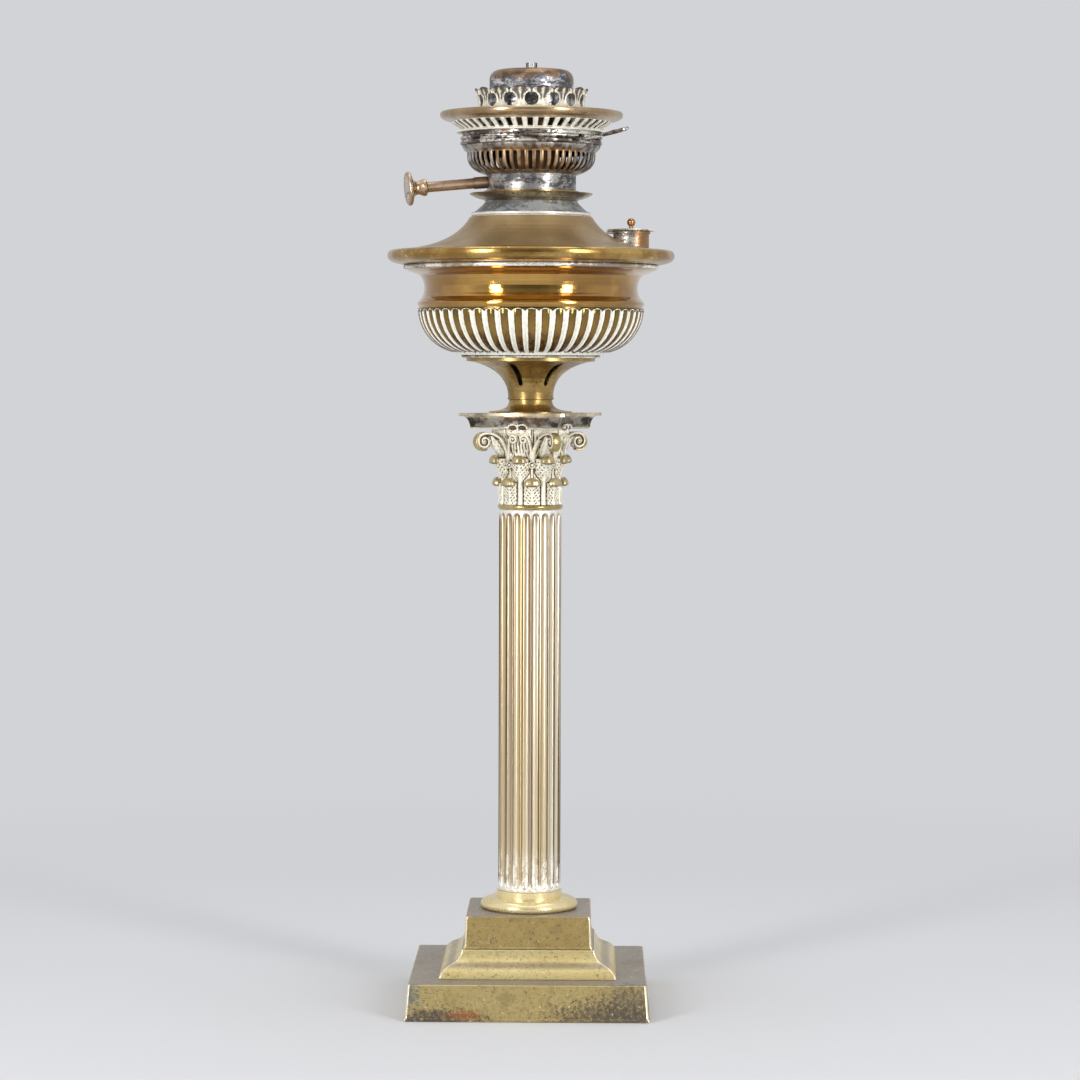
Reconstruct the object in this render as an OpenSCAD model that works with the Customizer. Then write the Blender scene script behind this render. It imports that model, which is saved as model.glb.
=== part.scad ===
// Column oil lamp with a central-draught burner.
// The lamp stands on Z = 0 and its upright axis is Z. The photograph's front is -Y.

/* [Stepped base] */
// Width of the bottom slab at its foot
slab_w = 150; // [130:1:170]
// Width of the bottom slab at its top
slab_top_w = 145.4; // [126:0.2:165]
// Height of the bottom slab
slab_h = 22.4; // [16:0.2:30]
// Width of the moulded tier at its foot
ogee_w = 109.2; // [98:0.2:120]
// Width of the moulded tier at its top
ogee_top_w = 82.6; // [80:0.2:95]
// Height of the moulded tier
ogee_h = 16.3; // [12:0.1:22]
// Width of the upper block at its foot
block_w = 80; // [72:0.5:80]
// Width of the upper block at its top
block_top_w = 77; // [68:0.5:80]
// Height of the upper block
block_h = 20.2; // [14:0.2:28]
// Thickness of the base castings
base_wall = 2.4; // [1.6:0.1:3.5]
// Thickness of the iron weight inside the slab
weight_h = 12; // [8:0.5:14]

/* [Column] */
// Radius of the round foot moulding
foot_r = 30.7; // [26:0.1:34]
// Height of the round foot moulding
foot_h = 7.2; // [5:0.1:10]
// Height of the plain fillet above the foot moulding
fillet_h = 4.3; // [2.5:0.1:6]
// Outer radius of the column
column_r = 19.5; // [17:0.1:21]
// Height of the column
column_h = 239.1; // [180:0.5:300]
// Radius of the hollow inside the column
column_bore_r = 15.5; // [10:0.1:16]
// Number of flutes round the column
flute_count = 20; // [12:1:24]
// Radius of the cutter that shapes a flute
flute_r = 2.6; // [1.8:0.1:3]
// Depth of a flute
flute_depth = 1.5; // [0.8:0.1:1.8]
// Plain length left above and below the flutes
flute_margin = 2.2; // [1:0.1:6]
// Radius of the ring between column and capital
neck_r = 20.4; // [19.8:0.1:22]
// Height of that ring
neck_h = 3; // [2:0.1:4]
// Radius of the tie rod that clamps base, column and capital
rod_r = 4; // [3:0.1:5]

/* [Capital] */
// Height of the capital below its abacus
capital_h = 46.9; // [42:0.1:52]
// Radius of the bell at its foot
bell_r = 18.7; // [17:0.1:19]
// Radius of the bell at its lip
bell_lip_r = 23.4; // [22:0.1:25]
// Number of leaves in each of the two rows
leaf_count = 8; // [8:4:8]
// Height of the lower leaves' curled tips above the capital's foot
low_tip_h = 13.6; // [11:0.1:16]
// Height of the upper leaves' curled tips above the capital's foot
high_tip_h = 27.8; // [24:0.1:30]
// Thickness of a leaf
leaf_t = 1.5; // [1:0.1:2]
// Distance from the axis to the centre of a volute's face
volute_side = 21; // [19:0.1:23]
// Radius of a volute's scroll
volute_r = 5.6; // [4.5:0.1:6.5]
// Turn of the capital about the lamp's axis
capital_turn = -20; // [-45:1:45]
// Height of the abacus
abacus_h = 10; // [7:0.1:12]
// Distance from the axis to an abacus corner
abacus_corner_r = 48.2; // [44:0.1:52]
// Distance from the axis to the middle of an abacus side
abacus_side_r = 26.5; // [25:0.1:32]

/* [Oil font] */
// Height of the foot that the font screws into
font_foot_h = 9.4; // [8:0.1:12]
// Radius of the font foot's flange
font_foot_r = 26; // [22:0.1:26]
// Radius of the pedestal's waist
waist_r = 14; // [13.5:0.1:17]
// Height of the trumpet-shaped pedestal
pedestal_h = 24.8; // [20:0.1:32]
// Radius of the pedestal's top flange
pedestal_r = 40.1; // [38:0.1:42]
// Number of air slots in the pedestal
slot_count = 6; // [4:1:8]
// Width of an air slot at its top
slot_w = 4.6; // [3:0.1:6]
// Height of the flat ring under the bowl
base_ring_h = 1.7; // [1:0.1:3]
// Height of the gadrooned bowl
bowl_h = 28.9; // [24:0.1:34]
// Radius of the gadrooned bowl at its top
bowl_r = 70.4; // [66:0.1:75]
// Number of gadroon lobes
lobe_count = 52; // [36:1:60]
// Depth of the grooves between lobes
lobe_depth = 1.3; // [0.6:0.1:1.6]
// Height of the plain waisted band
band_h = 24.3; // [18:0.1:32]
// Radius of the ring above the band
ring_r = 79.4; // [76:0.1:84]
// Height of that ring
ring_h = 2.8; // [2:0.1:4]
// Radius of the font's rim
rim_r = 89.3; // [85:0.1:95]
// Height from the ring to the collar
shoulder_h = 29.7; // [26:0.1:34]
// Radius of the collar at the top of the shoulder
collar_r = 37.4; // [35:0.1:39]
// Height of the collar
collar_h = 9.6; // [8:0.1:12]
// Thickness of the spun sheet brass
sheet_t = 1; // [0.7:0.1:1.4]

/* [Filler] */
// Distance from the lamp's axis to the filler
filler_x = 62.5; // [60:0.1:65]
// Radius of the filler neck
filler_r = 11.2; // [9:0.1:12]
// Radius of the filler lid
lid_r = 15; // [13:0.1:16]
// Height of the lid's underside above the ring of the font
filler_top_h = 21.3; // [20:0.1:26]
// Radius of the ball on the lid
lid_ball_r = 2.65; // [2:0.05:3.5]
// Radius of the lid's hinge pin
lid_pin_r = 0.7; // [0.5:0.05:0.8]

/* [Burner] */
// Radius of the burner's throat
throat_r = 27.8; // [27:0.1:29]
// Height of the burner's throat
throat_h = 10; // [9.5:0.1:14]
// Radius of the dish-shaped flange under the throat
dish_r = 38.3; // [35:0.1:41]
// Height of that flange
dish_h = 6.4; // [5:0.1:8]
// Radius of the pierced basket
basket_r = 39.7; // [38:0.1:41]
// Height of the pierced basket
basket_h = 18; // [16:0.1:22]
// Number of slots in the basket
basket_slots = 52; // [36:1:60]
// Radius of the moulded rim above the basket
burner_rim_r = 44.2; // [43:0.1:46]
// Height of the moulded rim
burner_rim_h = 8; // [7:0.1:10]
// Inner radius of the draught tube
draught_r = 13.2; // [12:0.1:14]
// Thickness of the burner's tubes
tube_t = 0.7; // [0.5:0.05:0.7]
// Thickness of the round wick
wick_t = 2.6; // [2:0.1:2.8]
// Gap between the wick and its two tubes
wick_gap = 0.3; // [0.25:0.05:0.5]
// Height of the wick tubes above the burner's rim
wick_tube_h = 33.5; // [31:0.1:36]

/* [Gallery] */
// Radius of the gallery's rolled rim
gallery_r = 56.9; // [54:0.1:60]
// Height from the burner's rim to the top of the rolled rim
gallery_h = 13; // [12:0.1:16]
// Number of slots in the gallery's sloping band
gallery_slots = 52; // [36:1:60]
// Outer radius of the chimney crown
crown_r = 32.6; // [31:0.1:34]
// Number of prongs in the chimney crown
crown_count = 15; // [12:1:18]
// Diameter of the round openings between prongs
crown_hole_d = 7.8; // [6:0.1:9]
// Height of the crown's tips above the burner's rim
crown_tip_h = 27.6; // [25:0.1:30]
// Radius of the dome round the wick tubes
dome_r = 26.1; // [25.5:0.1:27]
// Height of the dome's top above the burner's rim
dome_h = 38.9; // [37:0.1:42]
// Radius of the opening in the dome's top
dome_mouth_r = 19.6; // [19.5:0.1:21]

/* [Wick winder] */
// Direction of the winder round the lamp's axis
winder_turn = 193; // [180:1:200]
// Slope of the winder's tube below the horizontal
winder_slope = 5.5; // [0:0.5:8]
// Distance from the lamp's axis to the end of the winder's tube
winder_reach = 66; // [56:0.5:74]
// Radius of the winder's tube
winder_tube_r = 3.2; // [2.6:0.1:4]
// Radius of the winder's spindle
spindle_r = 1.5; // [1.2:0.05:1.8]
// Radius of the winder's knob
knob_r = 10.5; // [9:0.1:12]
// Thickness of one pinion tooth and its gap together, divided by pi
pinion_module = 0.8; // [0.8:0.1:0.8]
// Number of teeth on the pinion
pinion_teeth = 10; // [10:1:10]

/* [Extinguisher] */
// Direction of the lever round the lamp's axis
lever_turn = 315; // [300:1:330]
// Distance from the lamp's axis to the end of the lever
lever_reach = 83; // [78:0.5:88]
// Slope of the lever above the horizontal
lever_slope = 7; // [5:0.5:8]
// Distance from the lamp's axis to the lever's inner end
lever_inner = 21.5; // [21:0.1:22]

/* [Hidden] */

// Levels of the stack, each piece standing on the one below.
z_ogee = slab_h;
z_block = z_ogee + ogee_h;
z_foot = z_block + block_h;
z_column = z_foot + foot_h + fillet_h;
z_neck = z_column + column_h;
z_capital = z_neck + neck_h;
z_abacus = z_capital + capital_h;
z_font_foot = z_abacus + abacus_h;
z_pedestal = z_font_foot + font_foot_h;
z_base_ring = z_pedestal + pedestal_h;
z_bowl = z_base_ring + base_ring_h;
z_band = z_bowl + bowl_h;
z_ring = z_band + band_h;
z_shoulder = z_ring + ring_h;
z_collar = z_shoulder + shoulder_h;
z_dish = z_collar + collar_h;
z_throat = z_dish + dish_h;
z_basket = z_throat + throat_h;
z_rim = z_basket + basket_h;
z_gallery = z_rim + burner_rim_h;

// Clearances: seats between fixed pieces, running fits and free gaps.
seat = 0.05;
running = 0.06;
free_gap = 0.3;
through = 1;

// Facets for the preview of round work.
round_fn = 96;
small_fn = 32;

// Radii of the burner's nested tubes, from the axis outwards.
draught_outer_r = draught_r + tube_t;
wick_inner_r = draught_outer_r + wick_gap;
wick_outer_r = wick_inner_r + wick_t;
wick_tube_inner_r = wick_outer_r + wick_gap;
wick_tube_outer_r = wick_tube_inner_r + tube_t;
sleeve_inner_r = wick_tube_outer_r + 0.2;
sleeve_outer_r = sleeve_inner_r + tube_t;
z_wick_top = z_gallery + wick_tube_h;

function arc(c, r, a0, a1, n) =
    [for (i = [0:n]) c + r * [cos(a0 + (a1 - a0) * i / n), sin(a0 + (a1 - a0) * i / n)]];

function bezier(a, b, c, d, n) =
    [for (i = [0:n]) let (t = i / n, u = 1 - t)
        u * u * u * a + 3 * u * u * t * b + 3 * u * t * t * c + t * t * t * d];

function reversed(p) = [for (i = [len(p) - 1:-1:0]) p[i]];

// Unit vector square to a path, on its left.
function left_normal(a, b) = let (d = b - a) [-d[1], d[0]] / norm(d);

function path_normal(p, i) =
    let (
        before = i > 0 ? left_normal(p[i - 1], p[i]) : left_normal(p[i], p[i + 1]),
        after = i < len(p) - 1 ? left_normal(p[i], p[i + 1]) : before,
        sum = before + after
    ) sum / norm(sum);

// A path moved to its left by t.
function beside(p, t) = [for (i = [0:len(p) - 1]) p[i] + t * path_normal(p, i)];

// Sheet metal spun to a profile: the path is the outer face, upwards, and both edges are level.
module spun(path, t) {
    top = path[len(path) - 1][1];
    inner = [for (p = beside(path, t)) [p[0], min(p[1], top)]];
    rotate_extrude($fn = round_fn)
        polygon(concat(path, reversed(inner)));
}

module turned(points) {
    rotate_extrude($fn = round_fn) polygon(points);
}

module tube(r_out, r_in, z0, z1) {
    turned([[r_in, z0], [r_out, z0], [r_out, z1], [r_in, z1]]);
}

module around(n, first = 0) {
    for (i = [0:n - 1]) rotate([0, 0, first + i * 360 / n]) children();
}

// A square moulding whose corners are mitred: half_profile runs upwards.
module mitred(half_profile) {
    outline = concat(half_profile, [for (p = reversed(half_profile)) [-p[0], p[1]]]);
    reach = 2 * max([for (p = half_profile) p[0]]) + through;
    intersection() {
        rotate([90, 0, 0]) linear_extrude(reach, center = true) polygon(outline);
        rotate([90, 0, 90]) linear_extrude(reach, center = true) polygon(outline);
    }
}

// Stepped base

slab_lip_h = 1.6;
slab_lip_w = 0.7;
plate_ledge = 7;

module base_slab() {
    inner_w = slab_w - 2 * slab_lip_w - 2 * base_wall;
    inner_top_w = slab_top_w - 2 * base_wall;
    color("darkgoldenrod") difference() {
        mitred([
            [slab_w / 2, 0], [slab_w / 2, slab_lip_h], [slab_w / 2 - slab_lip_w, slab_lip_h + slab_lip_w],
            [slab_top_w / 2, slab_h - slab_lip_w], [slab_top_w / 2 - slab_lip_w, slab_h]
        ]);
        mitred([[inner_w / 2, -through], [inner_w / 2, 0], [inner_top_w / 2, slab_h - base_wall]]);
        cube([ogee_w - 2 * plate_ledge, ogee_w - 2 * plate_ledge, 3 * slab_h], center = true);
    }
}

// Cyma profile between the moulded tier's foot and top.
function ogee_profile(w0, w1, h) = concat(
    [[w0 / 2, 0]],
    bezier([w0 / 2 - 0.6, h * 0.12], [w0 / 2 - 2.5, h * 0.5], [w1 / 2 + 1.2, h * 0.38], [w1 / 2, h * 0.93], 9),
    [[w1 / 2, h]]
);

module base_ogee() {
    color("darkgoldenrod") translate([0, 0, z_ogee]) difference() {
        mitred(ogee_profile(ogee_w, ogee_top_w, ogee_h));
        difference() {
            translate([0, 0, -base_wall])
                mitred(ogee_profile(ogee_w - 2 * base_wall, ogee_top_w - 2 * base_wall, ogee_h));
            translate([0, 0, -3 * base_wall])
                cube([2 * ogee_w, 2 * ogee_w, 4 * base_wall], center = true);
        }
        cube([block_w - 2 * plate_ledge, block_w - 2 * plate_ledge, 3 * ogee_h], center = true);
    }
}

module base_block() {
    lip = 0.8;
    color("darkgoldenrod") translate([0, 0, z_block]) difference() {
        mitred([
            [block_w / 2, 0], [block_w / 2, lip], [block_w / 2 - lip, 2 * lip],
            [block_top_w / 2, block_h - lip], [block_top_w / 2 - lip, block_h]
        ]);
        mitred([
            [block_w / 2 - lip - base_wall, -through],
            [block_w / 2 - lip - base_wall, 0],
            [block_top_w / 2 - base_wall, block_h - base_wall]
        ]);
        cylinder(r = rod_r + free_gap, h = 2 * block_h, $fn = small_fn);
    }
}

z_weight = slab_h - base_wall - weight_h;
washer_h = 1.6;
nut_h = 5;

weight_gap = 3;

module base_weight() {
    half = min(slab_w - 2 * slab_lip_w, slab_top_w) / 2 - base_wall - weight_gap;
    color("dimgray") translate([0, 0, z_weight]) difference() {
        mitred([[half, 0], [half, weight_h]]);
        translate([0, 0, -through]) cylinder(r = rod_r + free_gap, h = weight_h + 2 * through, $fn = small_fn);
    }
}

z_rod = 1;
foot_floor = 1.8;
z_rod_top = z_font_foot + foot_floor + nut_h + 0.6;

module tie_rod() {
    chamfer = 0.6;
    color("gray") turned([
        [0, z_rod], [rod_r - chamfer, z_rod], [rod_r, z_rod + chamfer],
        [rod_r, z_rod_top - chamfer], [rod_r - chamfer, z_rod_top], [0, z_rod_top]
    ]);
}

module hex_nut(z0) {
    translate([0, 0, z0]) difference() {
        intersection() {
            cylinder(r = rod_r * 1.87, h = nut_h, $fn = 6);
            turned([
                [0, 0], [rod_r * 1.62, 0], [rod_r * 1.9, 0.9], [rod_r * 1.9, nut_h - 0.9],
                [rod_r * 1.62, nut_h], [0, nut_h]
            ]);
        }
        translate([0, 0, -through]) cylinder(r = rod_r + seat, h = nut_h + 2 * through, $fn = small_fn);
    }
}

module tie_nuts() {
    color("gray") {
        hex_nut(z_weight - washer_h - nut_h);
        hex_nut(z_font_foot + foot_floor);
    }
}

module tie_washers() {
    color("gray") {
        tube(3.2 * rod_r, rod_r + seat, z_weight - washer_h, z_weight);
        tube(2.2 * rod_r, rod_r + seat, z_abacus + 2, z_abacus + 2 + washer_h);
    }
}

// Column

// A full round that swells out over the block, then a plain fillet.
module column_foot() {
    fillet_r = column_r + 1;
    color("darkgoldenrod") translate([0, 0, z_foot]) turned(concat(
        [[column_bore_r, 0], [foot_r - 2.6, 0]],
        bezier([foot_r - 1.8, 0.3], [foot_r + 0.5, 1.2], [foot_r + 0.3, 4.4], [foot_r - 2.6, 6], 8),
        bezier([foot_r - 3.4, 6.4], [foot_r - 5, foot_h + 0.1], [fillet_r + 1.6, foot_h + 0.4],
            [fillet_r, foot_h + 0.6], 5),
        [[fillet_r, foot_h + fillet_h], [column_bore_r, foot_h + fillet_h]]
    ));
}

// One flute: a long bar with rounded ends, turned about its own axis.
module flute_cutter() {
    span = column_h - 2 * flute_margin;
    translate([column_r + flute_r - flute_depth, 0, flute_margin])
        rotate_extrude($fn = small_fn) polygon(concat(
            arc([0, flute_r], flute_r, -90, 0, 5),
            arc([0, span - flute_r], flute_r, 0, 90, 5)
        ));
}

flute_first = 11.4;

module column() {
    color("goldenrod") translate([0, 0, z_column]) difference() {
        tube(column_r, column_bore_r, 0, column_h);
        around(flute_count, flute_first) flute_cutter();
    }
}

module column_neck() {
    r = neck_h / 2;
    color("goldenrod") translate([0, 0, z_neck]) turned(concat(
        [[column_bore_r, 0], [neck_r - r, 0]],
        arc([neck_r - r, r], r, -90, 90, 10),
        [[column_bore_r, neck_h]]
    ));
}

// Capital

bell_bore_r = 12;
leaf_pitch = 360 / leaf_count;

// Outline of the bell, let out by grow to cut a seat for the leaves.
module bell(grow = 0) {
    turned(concat(
        [[bell_bore_r, 0], [bell_r + grow, 0], [bell_r + grow, 2]],
        [for (p = bezier(
            [bell_r - 0.6, 2.2], [bell_r - 0.6, capital_h * 0.6],
            [bell_r + 0.6, capital_h * 0.8], [bell_lip_r, capital_h - 2.5], 7
        )) [p[0] + grow, p[1]]],
        [[bell_lip_r + grow, capital_h], [bell_bore_r, capital_h]]
    ));
}

// Section of a leaf that leans out from the bell and rolls over at its tip.
module leaf_section(tip_r, tip_h) {
    turned(concat(
        [[bell_r - 1.2, 0]],
        bezier([bell_r + leaf_t * 0.5, 0], [bell_r + leaf_t * 0.7, tip_h * 0.6],
            [bell_r + leaf_t, tip_h * 0.8], [tip_r, tip_h + 1], 5),
        [[tip_r - 1.2, tip_h + 3], [bell_r + 0.4, tip_h + 1.5], [bell_r - 1.2, tip_h]]
    ));
}

// Front view of a leaf: a stalk, then three lobes on each side below the tip.
function leaf_side(w, stalk, z0, h) = [
    [stalk / 2, 0], [stalk / 2, z0], [w * 0.42, z0 + h * 0.16], [w * 0.36, z0 + h * 0.24],
    [w * 0.48, z0 + h * 0.4], [w * 0.38, z0 + h * 0.52],
    [w * 0.5, z0 + h * 0.68], [w * 0.4, z0 + h * 0.82],
    [w * 0.42, z0 + h * 0.96], [w * 0.3, z0 + h * 1.12], [w * 0.12, z0 + h * 1.2]
];

module leaf_outline(w, stalk, z0, h) {
    side = leaf_side(w, stalk, z0, h);
    polygon(concat(side, [for (p = reversed(side)) [-p[0], p[1]]]));
}

module radial_prism(r0, r1) {
    rotate([90, 0, 90]) translate([0, 0, r0]) linear_extrude(r1 - r0) children();
}

// A leaf with a groove on each side of its midrib.
module leaf(tip_r, tip_h, w, stalk, z0) {
    vein = 0.7;
    difference() {
        union() {
            intersection() {
                leaf_section(tip_r, tip_h);
                radial_prism(bell_bore_r, tip_r + 2) leaf_outline(w, stalk, z0, tip_h - z0);
            }
            leaf_curl(tip_r, tip_h);
        }
        for (side = [-1, 1])
            translate([bell_r + leaf_t * 0.5, side * 1.1 - vein / 2, z0 + 1]) cube([tip_r, vein, tip_h - z0 - 4]);
    }
}

// The rolled tip: a barrel across the leaf.
module leaf_curl(tip_r, tip_h) {
    bow_r = (curl_w * curl_w / 4 + curl_r * curl_r) / (2 * curl_r);
    half = asin(curl_w / 2 / bow_r) * 0.94;
    translate([tip_r - curl_r, 0, tip_h])
        rotate([90, 0, 0])
            rotate_extrude($fn = small_fn)
                polygon(concat(
                    [[0, -bow_r * sin(half)]],
                    arc([curl_r - bow_r, 0], bow_r, -half, half, 6),
                    [[0, bow_r * sin(half)]]
                ));
}

curl_w = 9.6;
curl_r = 2.7;
low_leaf_w = 12;
low_stalk_w = 8.4;
high_leaf_w = 11.5;
high_stalk_w = 2.4;
low_tip_r = bell_r + 3.3;
face_tip_r = bell_r + 4.2;
corner_tip_r = bell_r + 7.6;

module capital_place() {
    rotate([0, 0, capital_turn]) translate([0, 0, z_capital]) children();
}

module lower_leaves() {
    color("khaki") capital_place() difference() {
        around(leaf_count, leaf_pitch / 2) leaf(low_tip_r, low_tip_h, low_leaf_w, low_stalk_w, 0);
        bell(seat);
    }
}

module upper_leaves() {
    spread_h = low_tip_h + 3.4;
    color("khaki") capital_place() difference() {
        union() {
            around(4, 0) leaf(face_tip_r, high_tip_h, high_leaf_w, high_stalk_w, spread_h);
            around(4, 45) leaf(corner_tip_r, high_tip_h, high_leaf_w, high_stalk_w, spread_h);
        }
        bell(seat);
    }
}

bud_r = 1.9;

module buds() {
    around(leaf_count, leaf_pitch / 2)
        translate([bell_r - 3, 0, high_tip_h - 2]) rotate([0, 90, 0])
            rotate_extrude($fn = small_fn) polygon(concat(
                [[0, 0], [bud_r - 0.6, 0], [bud_r - 0.6, 3.4]], arc([0, 4.2], bud_r, -20, 90, 5)
            ));
}

// A scroll at the origin and the arched stem that feeds it from start.
module scroll_stem(r, stem_w, start) {
    ring = 1.6;
    polygon(concat(
        bezier(start + [-stem_w / 2, 0], start + [-stem_w / 2, 9], [-r * 1.6, r * 1.1], [0, r], 6),
        [[0, r - ring]],
        reversed(bezier(start + [stem_w / 2, 0], start + [stem_w / 2, 5], [-r * 1.1, r * 0.5], [-0.6, r - ring], 6))
    ));
}

volute_face = 23.5;
volute_t = 4;
volute_z = capital_h - 8.4;
spiral_w = 0.8;

// Groove along a spiral, cut into the volute's face.
module spiral_groove(r, turns) {
    n = 22;
    function at(i) = let (a = 90 - i / n * turns * 360, q = r * (1 - 0.8 * i / n)) q * [cos(a), sin(a)];
    line_w = spiral_w;
    polygon(concat(
        [for (i = [0:n]) at(i)],
        [for (i = [n:-1:0]) at(i) * (1 - line_w / norm(at(i)))]
    ));
}

module volute(side) {
    stem = [-volute_side + 10.4, -6.4];
    mirror([0, side > 0 ? 0 : 1, 0])
        translate([volute_face - volute_t, volute_side, volute_z])
            rotate([90, 0, 90]) {
                difference() {
                    union() {
                        cylinder(r = volute_r, h = volute_t, $fn = small_fn);
                        translate([0, 0, -6]) linear_extrude(volute_t + 6) scroll_stem(volute_r, 3.4, stem);
                    }
                    translate([0, 0, volute_t - 0.8]) linear_extrude(through + 0.8) spiral_groove(volute_r - 1, 1.6);
                }
                translate([0, 0, volute_t - 1.5]) cylinder(r = 1.5, h = 2.2, $fn = small_fn);
            }
}

// The rounded corner where two volutes meet under the abacus.
module volute_corner() {
    reach = volute_face + 1.6;
    rotate([0, 0, 45]) translate([reach * sqrt(2) - 3.4, 0, volute_z])
        rotate([90, 0, 0]) rotate_extrude($fn = small_fn)
            polygon([[0, -5], [volute_r - 1.4, -5], [volute_r, -3], [volute_r - 0.4, 0], [volute_r, 3], [volute_r - 1.4, 5], [0, 5]]);
}

module inner_helices() {
    helix_r = 3.4;
    for (side = [-1, 1])
        translate([bell_lip_r - 7, side * 3.9, capital_h - 8.6]) rotate([90, 0, 90]) difference() {
            cylinder(r = helix_r, h = 8.2, $fn = small_fn);
            translate([0, 0, 7.2]) difference() {
                cylinder(r = helix_r - 0.9, h = 2, $fn = small_fn);
                translate([0, 0, -through]) cylinder(r = 1, h = 4, $fn = small_fn);
            }
        }
}

module capital() {
    color("khaki") capital_place() {
        bell();
        buds();
        around(4) {
            volute(-1);
            volute(1);
            volute_corner();
            inner_helices();
        }
    }
}

abacus_lip_h = 1.9;
abacus_lip_w = 1.8;
cavetto = 8;

// Cavetto under a plain lip, as the inward distance at each height.
function abacus_cove() = concat(
    [[cavetto, 0], [cavetto - 0.8, 0.9]],
    [for (p = arc([0, 0], 1, 0, 80, 6)) [
        cavetto - 0.8 - (cavetto - 0.8 - abacus_lip_w) * (1 - p[0]),
        0.9 + (abacus_h - abacus_lip_h - 0.9) * p[1] / sin(80)
    ]],
    [[0, abacus_h - abacus_lip_h], [0, abacus_h]]
);

module abacus() {
    half = abacus_corner_r * cos(45) + 4;
    sag = half - abacus_side_r;
    bow_r = (half * half + sag * sag) / (2 * sag);
    cove = abacus_cove();
    color("khaki") rotate([0, 0, capital_turn]) translate([0, 0, z_abacus]) difference() {
        turned(concat([[rod_r + free_gap, 0]], [for (p = cove) [abacus_corner_r - p[0], p[1]]],
            [[rod_r + free_gap, abacus_h]]));
        around(4) translate([abacus_side_r + bow_r, 0, 0]) turned(concat(
            [[0, -through]], [[bow_r + cove[0][0] * 0.5, -through]],
            [for (p = cove) [bow_r + p[0] * 0.5, p[1]]],
            [[bow_r, abacus_h + through], [0, abacus_h + through]]
        ));
        translate([0, 0, -through]) cylinder(r = 2.2 * rod_r + seat, h = through + 2 + washer_h, $fn = small_fn);
    }
}

// Oil font

module font_foot() {
    cavity_r = waist_r - 2.2;
    color("goldenrod") translate([0, 0, z_font_foot]) turned(concat(
        [[rod_r + free_gap, 0], [font_foot_r, 0], [font_foot_r, 0.6]],
        bezier([font_foot_r - 0.6, 1], [waist_r + 2, 1.4], [waist_r - 0.6, 4], [waist_r - 0.6, font_foot_h - 1.4], 8),
        [[waist_r + 0.5, font_foot_h - 0.9], [waist_r + 0.5, font_foot_h], [cavity_r, font_foot_h],
         [cavity_r, foot_floor], [rod_r + free_gap, foot_floor]]
    ));
}

function pedestal_path() = concat(
    bezier([waist_r, 0], [waist_r, pedestal_h * 0.48], [waist_r + 8, pedestal_h * 0.77],
        [pedestal_r - 4.1, pedestal_h * 0.9], 10),
    [[pedestal_r, pedestal_h * 0.92]]
);

module slot_cutter() {
    low = pedestal_h * 0.36;
    high = pedestal_h * 0.78;
    radial_prism(waist_r - 4, pedestal_r - 6)
        polygon(concat(
            arc([0, low], slot_w * 0.33, 180, 360, 6),
            arc([0, high], slot_w / 2, 0, 180, 6)
        ));
}

slot_first = 7.3;

module font_pedestal() {
    spigot_r = waist_r - 2.2 - seat;
    path = pedestal_path();
    inner = reversed(beside(path, sheet_t));
    color("goldenrod") translate([0, 0, z_pedestal]) difference() {
        turned(concat(
            [[spigot_r - 1.2, -font_foot_h * 0.4], [spigot_r, -font_foot_h * 0.4], [spigot_r, 0]],
            path,
            [[pedestal_r, pedestal_h], [pedestal_r - 8, pedestal_h]],
            [for (p = inner) if (p[0] < pedestal_r - 8.5 && p[1] > 2) p],
            [[spigot_r - 1.2, 1.5]]
        ));
        around(slot_count, slot_first) slot_cutter();
    }
}

module font_base_ring() {
    r = base_ring_h / 2;
    outer = bowl_foot_r - 3;
    color("lightgray") translate([0, 0, z_base_ring]) turned(concat(
        [[pedestal_r - 8, 0], [outer - r, 0]],
        arc([outer - r, r], r, -90, 90, 6),
        [[pedestal_r - 8, base_ring_h]]
    ));
}

bowl_foot_h = 1;
bowl_round_r = bowl_h - bowl_foot_h;
bowl_centre_r = bowl_r - bowl_round_r;
bowl_start = -82;
bowl_foot_r = bowl_centre_r + bowl_round_r * cos(bowl_start);
floor_r = bowl_foot_r - lobe_depth - sheet_t - seat;

module font_floor() {
    color("goldenrod") tube(floor_r, draught_outer_r + seat, z_bowl, z_bowl + sheet_t);
}

// Gadrooned bowl: each ring follows the round of the bowl and dips between lobes.
bowl_rings = 6;
lobe_phase = [0, 0.25, 0.5, 0.75];
lobe_dip = [1, 0.22, 0, 0.22];
groove_first = -2;

function bowl_angle(k) = bowl_start * (1 - k / bowl_rings);

function bowl_point(k, i) =
    let (
        step = i % len(lobe_phase),
        turn = groove_first + (floor(i / len(lobe_phase)) + lobe_phase[step]) * 360 / lobe_count,
        a = bowl_angle(k),
        q = bowl_round_r - lobe_depth * lobe_dip[step],
        r = bowl_centre_r + q * cos(a),
        z = bowl_h + q * sin(a)
    ) [r * cos(turn), r * sin(turn), z];

function bowl_inner_point(k, i) =
    let (
        turn = groove_first + i * 360 / lobe_count,
        a = bowl_angle(k),
        q = bowl_round_r - lobe_depth - sheet_t,
        r = bowl_centre_r + q * cos(a),
        z = k == 0 ? 0 : bowl_h + q * sin(a)
    ) [r * cos(turn), r * sin(turn), z];

function foot_point(i) = let (p = bowl_point(0, i)) [p[0], p[1], 0];

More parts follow.
